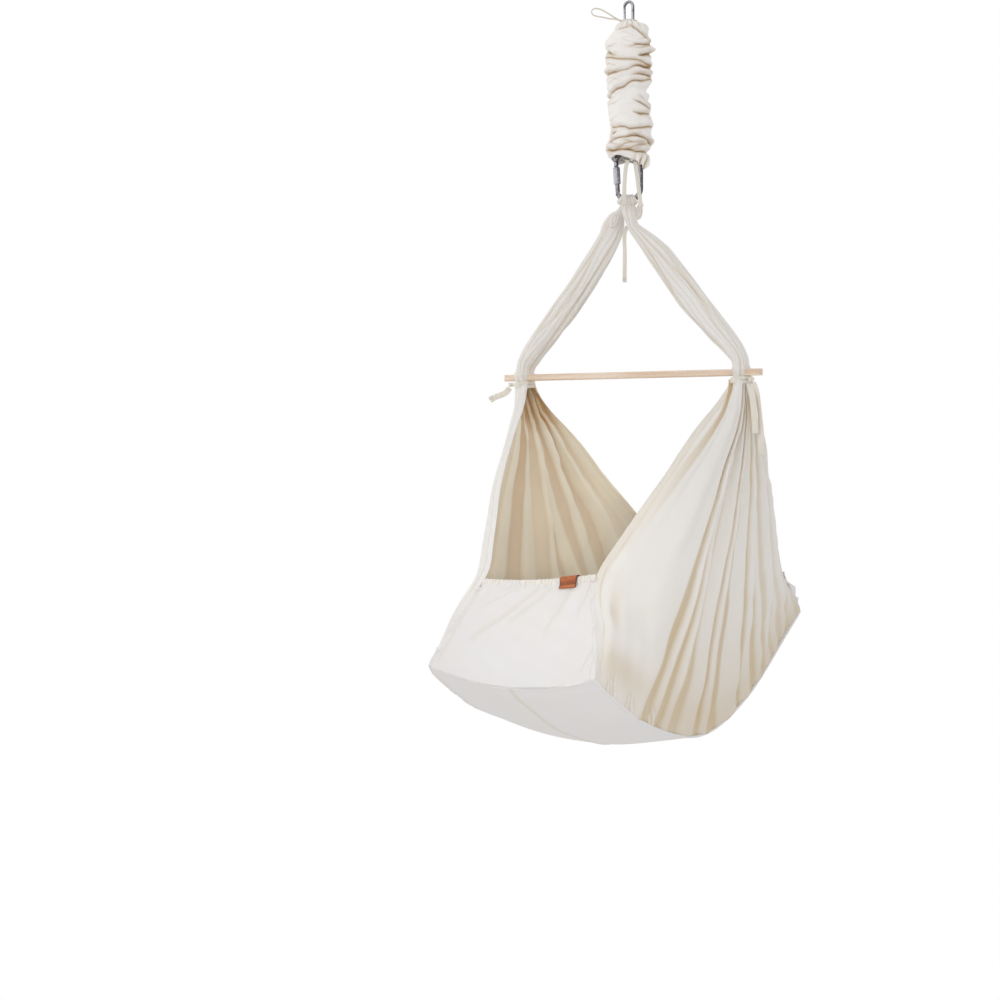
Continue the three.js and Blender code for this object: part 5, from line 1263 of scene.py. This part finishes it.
# %% The base
BASE_HALF_SAG, BASE_FLAT, BASE_CLOTH, BASE_IN, BASE_DOWN = 0.028, 0.40, 0.0024, 0.0005, 0.00265
RIPPLE_DEEP, RIPPLE_WAVE, GROOVE_DEEP, GROOVE_HALF, LOOSE_DEEP = 0.0006, 0.013, 0.0016, 0.0018, 0.0022
ROW_STITCH_OUT = 0.0045


def base_middle(along, across):
    """The base's middle surface: along the walls' lower edges and sagging by a parabola."""
    seam = wall_middle(1, along, np.array([1.0]))[0][:, None]
    return np.stack([across * (seam[..., 0] - BASE_IN), seam[..., 1] + 0 * across,
                     seam[..., 2] - BASE_DOWN - BASE_HALF_SAG * (1 - across ** 2)], axis=-1)


base_across = np.concatenate([np.linspace(-1, -0.03, 60, endpoint=False), np.linspace(-0.03, 0.03, 21),
                              np.linspace(0.03, 1, 61)[1:]])
base_points = base_middle(np.linspace(0, 1, 200), base_across)
base_up = normals(base_points)
base_up *= np.sign(base_up[100, 70, 2])
seam_gap = np.abs(base_points[..., 0])
side_reach = line_lengths(base_points, 0)
ripple = RIPPLE_DEEP * np.sin(FULL_TURN * side_reach / RIPPLE_WAVE) * ease(np.abs(base_across), 0.86, 0.98)
groove = -GROOVE_DEEP * bell(seam_gap, GROOVE_HALF)
loose = LOOSE_DEEP * wander(side_reach, seam_gap, 121, 0.2) * ease(1 - np.abs(base_across), 0, 0.1)
base_shape = base_points + base_up * (groove + ripple + loose)[..., None]
# painted shade along the groove of the middle seam
base = grid_piece("base", base_shape, base_cotton, "hammock", "base_cloth", thick=BASE_CLOTH,
                  marks={"stitch": stitch_line(seam_gap - ROW_STITCH_OUT), "crease": 0.5 * bell(seam_gap, 0.0016)})
print("base area", round(area_of(base_shape), 3))

# %% Piping
RIM_OUT, RIM_DOWN, PIPING, RIM_STEPS, RIM_SMOOTHING = 0.0002, 0.0014, 0.0021, 700, 3

# the cord runs once round the base at its seam, a little outside it and under it
flat = base_middle(np.linspace(0, 1, 90), np.linspace(-1, 1, 50))
away = (flat - flat.mean(axis=(0, 1))) * [1, 1, 0]
low = flat + unit(away) * RIM_OUT - [0, 0, RIM_DOWN]
ring = np.concatenate([low[:, -1], low[-1, ::-1][1:], low[::-1, 0][1:], low[0, :][1:]])
walked = distances(ring)
rim = points_at(np.linspace(0, walked[-1], RIM_STEPS)[:-1], walked, ring)
for _ in range(RIM_SMOOTHING):
    rim = (np.roll(rim, 1, axis=0) + rim + np.roll(rim, -1, axis=0)) / 3
grid_piece("piping", carry(rim, ring_section(PIPING, PIPING, 12), (0, 0, 1), looped=True), base_cotton,
           "hammock", "base_piping", closed=True)
print("piping", round(walked[-1], 2), "m round")

# %% The pad
PAD_FIRST, PAD_LAST = 2 / 28, 26 / 28
PAD_EDGE_OUT = 0.003
PAD_GAP, PAD_EDGE_THICK, PAD_SWELL, PAD_ROUND = 2.25, 12, 16, 0.13  # mm, and the rounded edge as a share
TUFTS_ALONG, TUFTS_ACROSS = 6, 3
pad_along = np.linspace(PAD_FIRST, PAD_LAST, 110)
pad_across = smooth_at(np.linspace(0, 1, 11), [-1, -0.93, -0.75, -0.5, -0.25, 0, 0.25, 0.5, 0.75, 0.93, 1],
                       np.linspace(0.1, 0.9, 64))


def pad_side(share):
    """One face of the pad: the base's surface raised by a share of the pad's thickness, which
    falls away near the edge as the square root of the distance, and dips at tufted rows."""
    middle = base_middle(pad_along, pad_across)
    up = normals(middle)
    up *= np.sign(up[:, :, 2:3])
    a, d = np.linspace(0, 1, len(pad_along))[:, None], np.linspace(0, 1, len(pad_across))[None, :]
    edge = np.minimum(np.minimum(a, 1 - a), np.minimum(d, 1 - d))
    thick = PAD_EDGE_THICK + PAD_SWELL * np.sqrt(np.clip(edge / PAD_ROUND, 0, 1))
    tufts = np.cos(FULL_TURN * TUFTS_ALONG * a) * np.cos(FULL_TURN * TUFTS_ACROSS * d)
    puff = 1.4 * tufts * ease(edge, 0.05, 0.2) + 1.2 * wander(a * 0.8, d * 0.4, 131, 0.25) * ease(edge, 0.0, 0.1)
    return middle + up * ((PAD_GAP + share * thick + (share > 0.5) * puff) / 1000)[..., None]


def edge_of(grid):
    """The outer line of a grid, once round."""
    return np.concatenate([grid[0], grid[1:, -1], grid[-1, ::-1][1:], grid[::-1, 0][1:-1]])


upper, lower = pad_side(0.97), pad_side(0.03)
edge_line = edge_of(pad_side(0.5))
edge_line = edge_line + unit(edge_line - (upper + lower).mean(axis=(0, 1))) * PAD_EDGE_OUT
vertices = np.concatenate([upper.reshape(-1, 3), lower.reshape(-1, 3), edge_line])
size = upper.shape[0] * upper.shape[1]
grid_index = np.arange(size).reshape(upper.shape[:2])
edge_index = edge_of(grid_index)
quads = np.stack([grid_index[:-1, :-1], grid_index[1:, :-1], grid_index[1:, 1:], grid_index[:-1, 1:]], axis=-1)
quads = quads.reshape(-1, 4)
band = np.arange(len(edge_index)) + 2 * size
next_edge, next_band = np.roll(edge_index, -1), np.roll(band, -1)
upper_band = np.stack([edge_index, next_edge, next_band, band], axis=-1)
lower_band = np.stack([band, next_band, next_edge + size, edge_index + size], axis=-1)
pad = mesh_piece("pad", vertices, np.concatenate([quads, quads[:, ::-1] + size, upper_band, lower_band]).tolist(),
                 pad_ticking)
recalculate(pad)
stand_for(pad, "mattress_pad", "hammock")
print("pad made")

# %% [markdown]
# ## Tag, ties and studs
# The tag is one strip of leather folded over the front casing. At each neck a length of tape
# is wound round the cloth and knotted. Snap studs close the corners of the end panels.

# %% The leather tag
TAG_PLACE, TAG_HALF, TAG_STEPS, TAG_LEG = 0.071, 0.018, 26, 0.013
TAG_INNER, TAG_THICK, TAG_FLARE = 0.0084, 0.0016, 0.0042
UP = np.array([0, 0, 1.0])

edge_x = wall_edge("front", np.array([PANEL_TOP_ROW, 1.0]))[0, 0] + 0.004
tag_line = top_line("front", np.linspace((TAG_PLACE - TAG_HALF) / edge_x, (TAG_PLACE + TAG_HALF) / edge_x, TAG_STEPS))
lean = np.linspace(-math.pi, 0, 24)
front_leg = np.linspace(TAG_LEG, 0.0, 20, endpoint=False)
back_leg = np.linspace(0.0, TAG_LEG, 15)[1:]
section = np.concatenate([
    np.stack([-TAG_INNER - TAG_FLARE * front_leg / TAG_LEG, -front_leg], axis=-1),
    np.stack([TAG_INNER * np.cos(lean), -TAG_INNER * np.sin(lean)], axis=-1),
    np.stack([np.full(len(back_leg), TAG_INNER), -back_leg], axis=-1),
])
inward = np.cross(UP, unit(tag_line[-1] - tag_line[0]))
drape = np.linspace(0, 1, len(section))[:, None]
bow = 0.0009 * np.cos(np.linspace(-1.2, 1.2, TAG_STEPS))
aside = section[:, :1] + 0.0012 * np.sin(3 * math.pi * drape) + bow
tag_points = tag_line + inward * aside[..., None] + UP * section[:, None, 1:]
side_gap = np.minimum(np.linspace(0, 1, TAG_STEPS), np.linspace(1, 0, TAG_STEPS)) * 2 * TAG_HALF
burnished = 0.9 * np.exp(-side_gap / 0.0009) + 0.8 * bell(drape - 0.165, 0.012) \
    + 0.5 * ease(drape, 0.14, 0.2) * (1 - ease(drape, 0.3, 0.4))
grid_piece("tag", tag_points, leather, "hammock", "leather_tag", thick=TAG_THICK,
           marks={"crease": np.clip(burnished, 0, 1)})
print("tag made")

# %% Neck ties
TIE_WINDS = ((0.0016, 0.10), (-0.0018, -0.12))  # lift in metres and tilt of each turn of the tape
TIE_OUT, TIE_BACK, TIE_STEPS = 0.0182, 0.0235, 120


def trefoil(centre, size, tilt):
    """A small overhand knot: the trefoil curve, drawn tight, with a flattened section."""
    t = turns(90)
    line = np.stack([np.sin(t) + 2 * np.sin(2 * t), np.cos(t) - 2 * np.cos(2 * t), -1.1 * np.sin(3 * t)], axis=-1) / 3
    line = centre + tilted(line, tilt, 1, 2) * size * 0.62
    return carry(line, ring_section(0.38 * size, 0.27 * size, 16, power=3), (0, 0, 1), looped=True)


def neck_tie(name, side, knot, node):
    """Tape wound twice round the neck, each turn a little askew, and a knot at the outside."""
    angle = turns(TIE_STEPS)
    grids = []
    for number, (lift, tilt) in enumerate(TIE_WINDS):
        bulge = 1 + 0.05 * np.sin(3 * angle + number) + 0.03 * np.sin(7 * angle)
        line = np.stack([side * NECK_OUT + TIE_OUT * bulge * np.cos(angle),
                         NECK_RING_BACK + TIE_BACK * bulge * np.sin(angle),
                         WALL_TOP + lift + tilt * 0.022 * np.cos(angle + number)], axis=-1)
        grids.append((carry(line, ring_section(0.0036, 0.0010, 12, power=3), (0, 0, 1), looped=True), False))
    grids.append((trefoil(knot, 0.0068, 0.5), False))
    joined(name, grids, tape_cotton, "hammock", node)


neck_tie("left_tie", -1, LEFT_KNOT, "left_neck_tie")
neck_tie("right_tie", 1, RIGHT_KNOT, "right_neck_tie")
print("neck ties made")

# %% The lower drawstring and its knot
FOOT_ROUND, FOOT_HEIGHT, FOOT_RISE, FOOT_STRING = 0.0310, -0.303, 0.014, 0.00125
foot_angle = turns(STRING_STEPS)
foot_line = circle(FOOT_ROUND, foot_angle, FOOT_HEIGHT - FOOT_RISE * np.cos(foot_angle - CARABINER_TURN))
foot_ring = carry(foot_line, ring_section(FOOT_STRING, FOOT_STRING, 12), (0, 0, 1), looped=True)
foot_knot = trefoil(turned(mm([6, -25.4, -306])[0]), 0.0062, 1.1)
joined("lower_drawstring", [(foot_ring, False), (foot_knot, False)], tape_cotton, "carabiner",
       "cover_lower_drawstring")
print("lower drawstring made")

# %% Finishes for the CAD pieces that stay
STAYING = {"spreader_bar": (wood, "beech"), "carabiner_lock_sleeve": (worn_steel, "steel")}
STAYING |= {node: (steel, "steel") for node in
            ("top_hook_gate", "top_hook_gate_pin", "carabiner_gate", "carabiner_gate_pin")}
STAYING |= {f"{end}_stud_{side}_{number}": (stud_metal, "snap_metal")
            for end in ("front", "rear") for side in ("left", "right") for number in (1, 2, 3)}
for node, (material, slot_name) in STAYING.items():
    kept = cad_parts[node]
    kept.data.materials.clear()
    kept.data.materials.append(material)
print(len(STAYING), "pieces keep their CAD shape")

# %% [markdown]
# ## Light and backdrop
# A large soft lamp stands in front, high and a little to the left of the camera's line to the
# axis. A weaker one stands far to the left, and a faint narrow beam from the right reaches the
# inside. The world lights the shadows evenly; seen directly, it is plain white. A small pale
# floor lies far below.

# %% Lamps, world and floor
FLOOR_HEIGHT, FLOOR_RADIUS, FLOOR_CORNERS = -2.6, 1.25, 96


def lamp(name, place, aim, size, power, colour, spread=math.pi):
    """A square area lamp at a place, turned towards a point; spread is its beam's angle."""
    data = bpy.data.lights.new(name, "AREA")
    data.shape = "SQUARE"
    data.size = size
    data.energy = power
    data.spread = spread
    data.color = linear(colour)[:3]
    thing = bpy.data.objects.new(name, data)
    thing.location = place
    thing.rotation_euler = (Vector(aim) - Vector(place)).to_track_quat("-Z", "Y").to_euler()
    bpy.context.scene.collection.objects.link(thing)


lamp("key", (-0.2, -4.2, 0.9), (0, 0, -0.9), 1.8, 20.5, "#FFFEFC")
lamp("inside", (2.4, -3.3, -1.0), (-0.16, 0, -1.1), 0.5, 0.23, "#FFF8EC", math.radians(14))
lamp("side", (-4.0, -1.2, 0.6), (0, 0, -0.9), 2.2, 16, "#FDFDFF")

world = bpy.data.worlds.new("studio")
bpy.context.scene.world = world
world.use_nodes = True
tree = world.node_tree
tree.nodes.clear()
ambient = add_node(tree, "ShaderNodeBackground", Color=linear("#FBFAFA"), Strength=0.8)
seen_white = add_node(tree, "ShaderNodeBackground", Color=(1, 1, 1, 1), Strength=1.0)
rays = add_node(tree, "ShaderNodeLightPath").outputs
direct = calculate(tree, "MAXIMUM", rays["Is Camera Ray"], rays["Is Transmission Ray"])
either = calculate(tree, "MAXIMUM", direct, rays["Is Glossy Ray"])
mixed = add_node(tree, "ShaderNodeMixShader", {"Fac": either})
tree.links.new(ambient.outputs[0], mixed.inputs[1])
tree.links.new(seen_white.outputs[0], mixed.inputs[2])
add_node(tree, "ShaderNodeOutputWorld", {"Surface": mixed.outputs[0]})

floor_mesh = bpy.data.meshes.new("floor")
floor_mesh.from_pydata(circle(FLOOR_RADIUS, turns(FLOOR_CORNERS), FLOOR_HEIGHT), [], [list(range(FLOOR_CORNERS))])
floor_mesh.materials.append(new_finish("floor_pale", "#F4F2EE", 0.9)[0])
floor = bpy.data.objects.new("floor", floor_mesh)
bpy.context.scene.collection.objects.link(floor)
bpy.context.scene.view_settings.view_transform = "Standard"
print("lamps, world and floor ready")
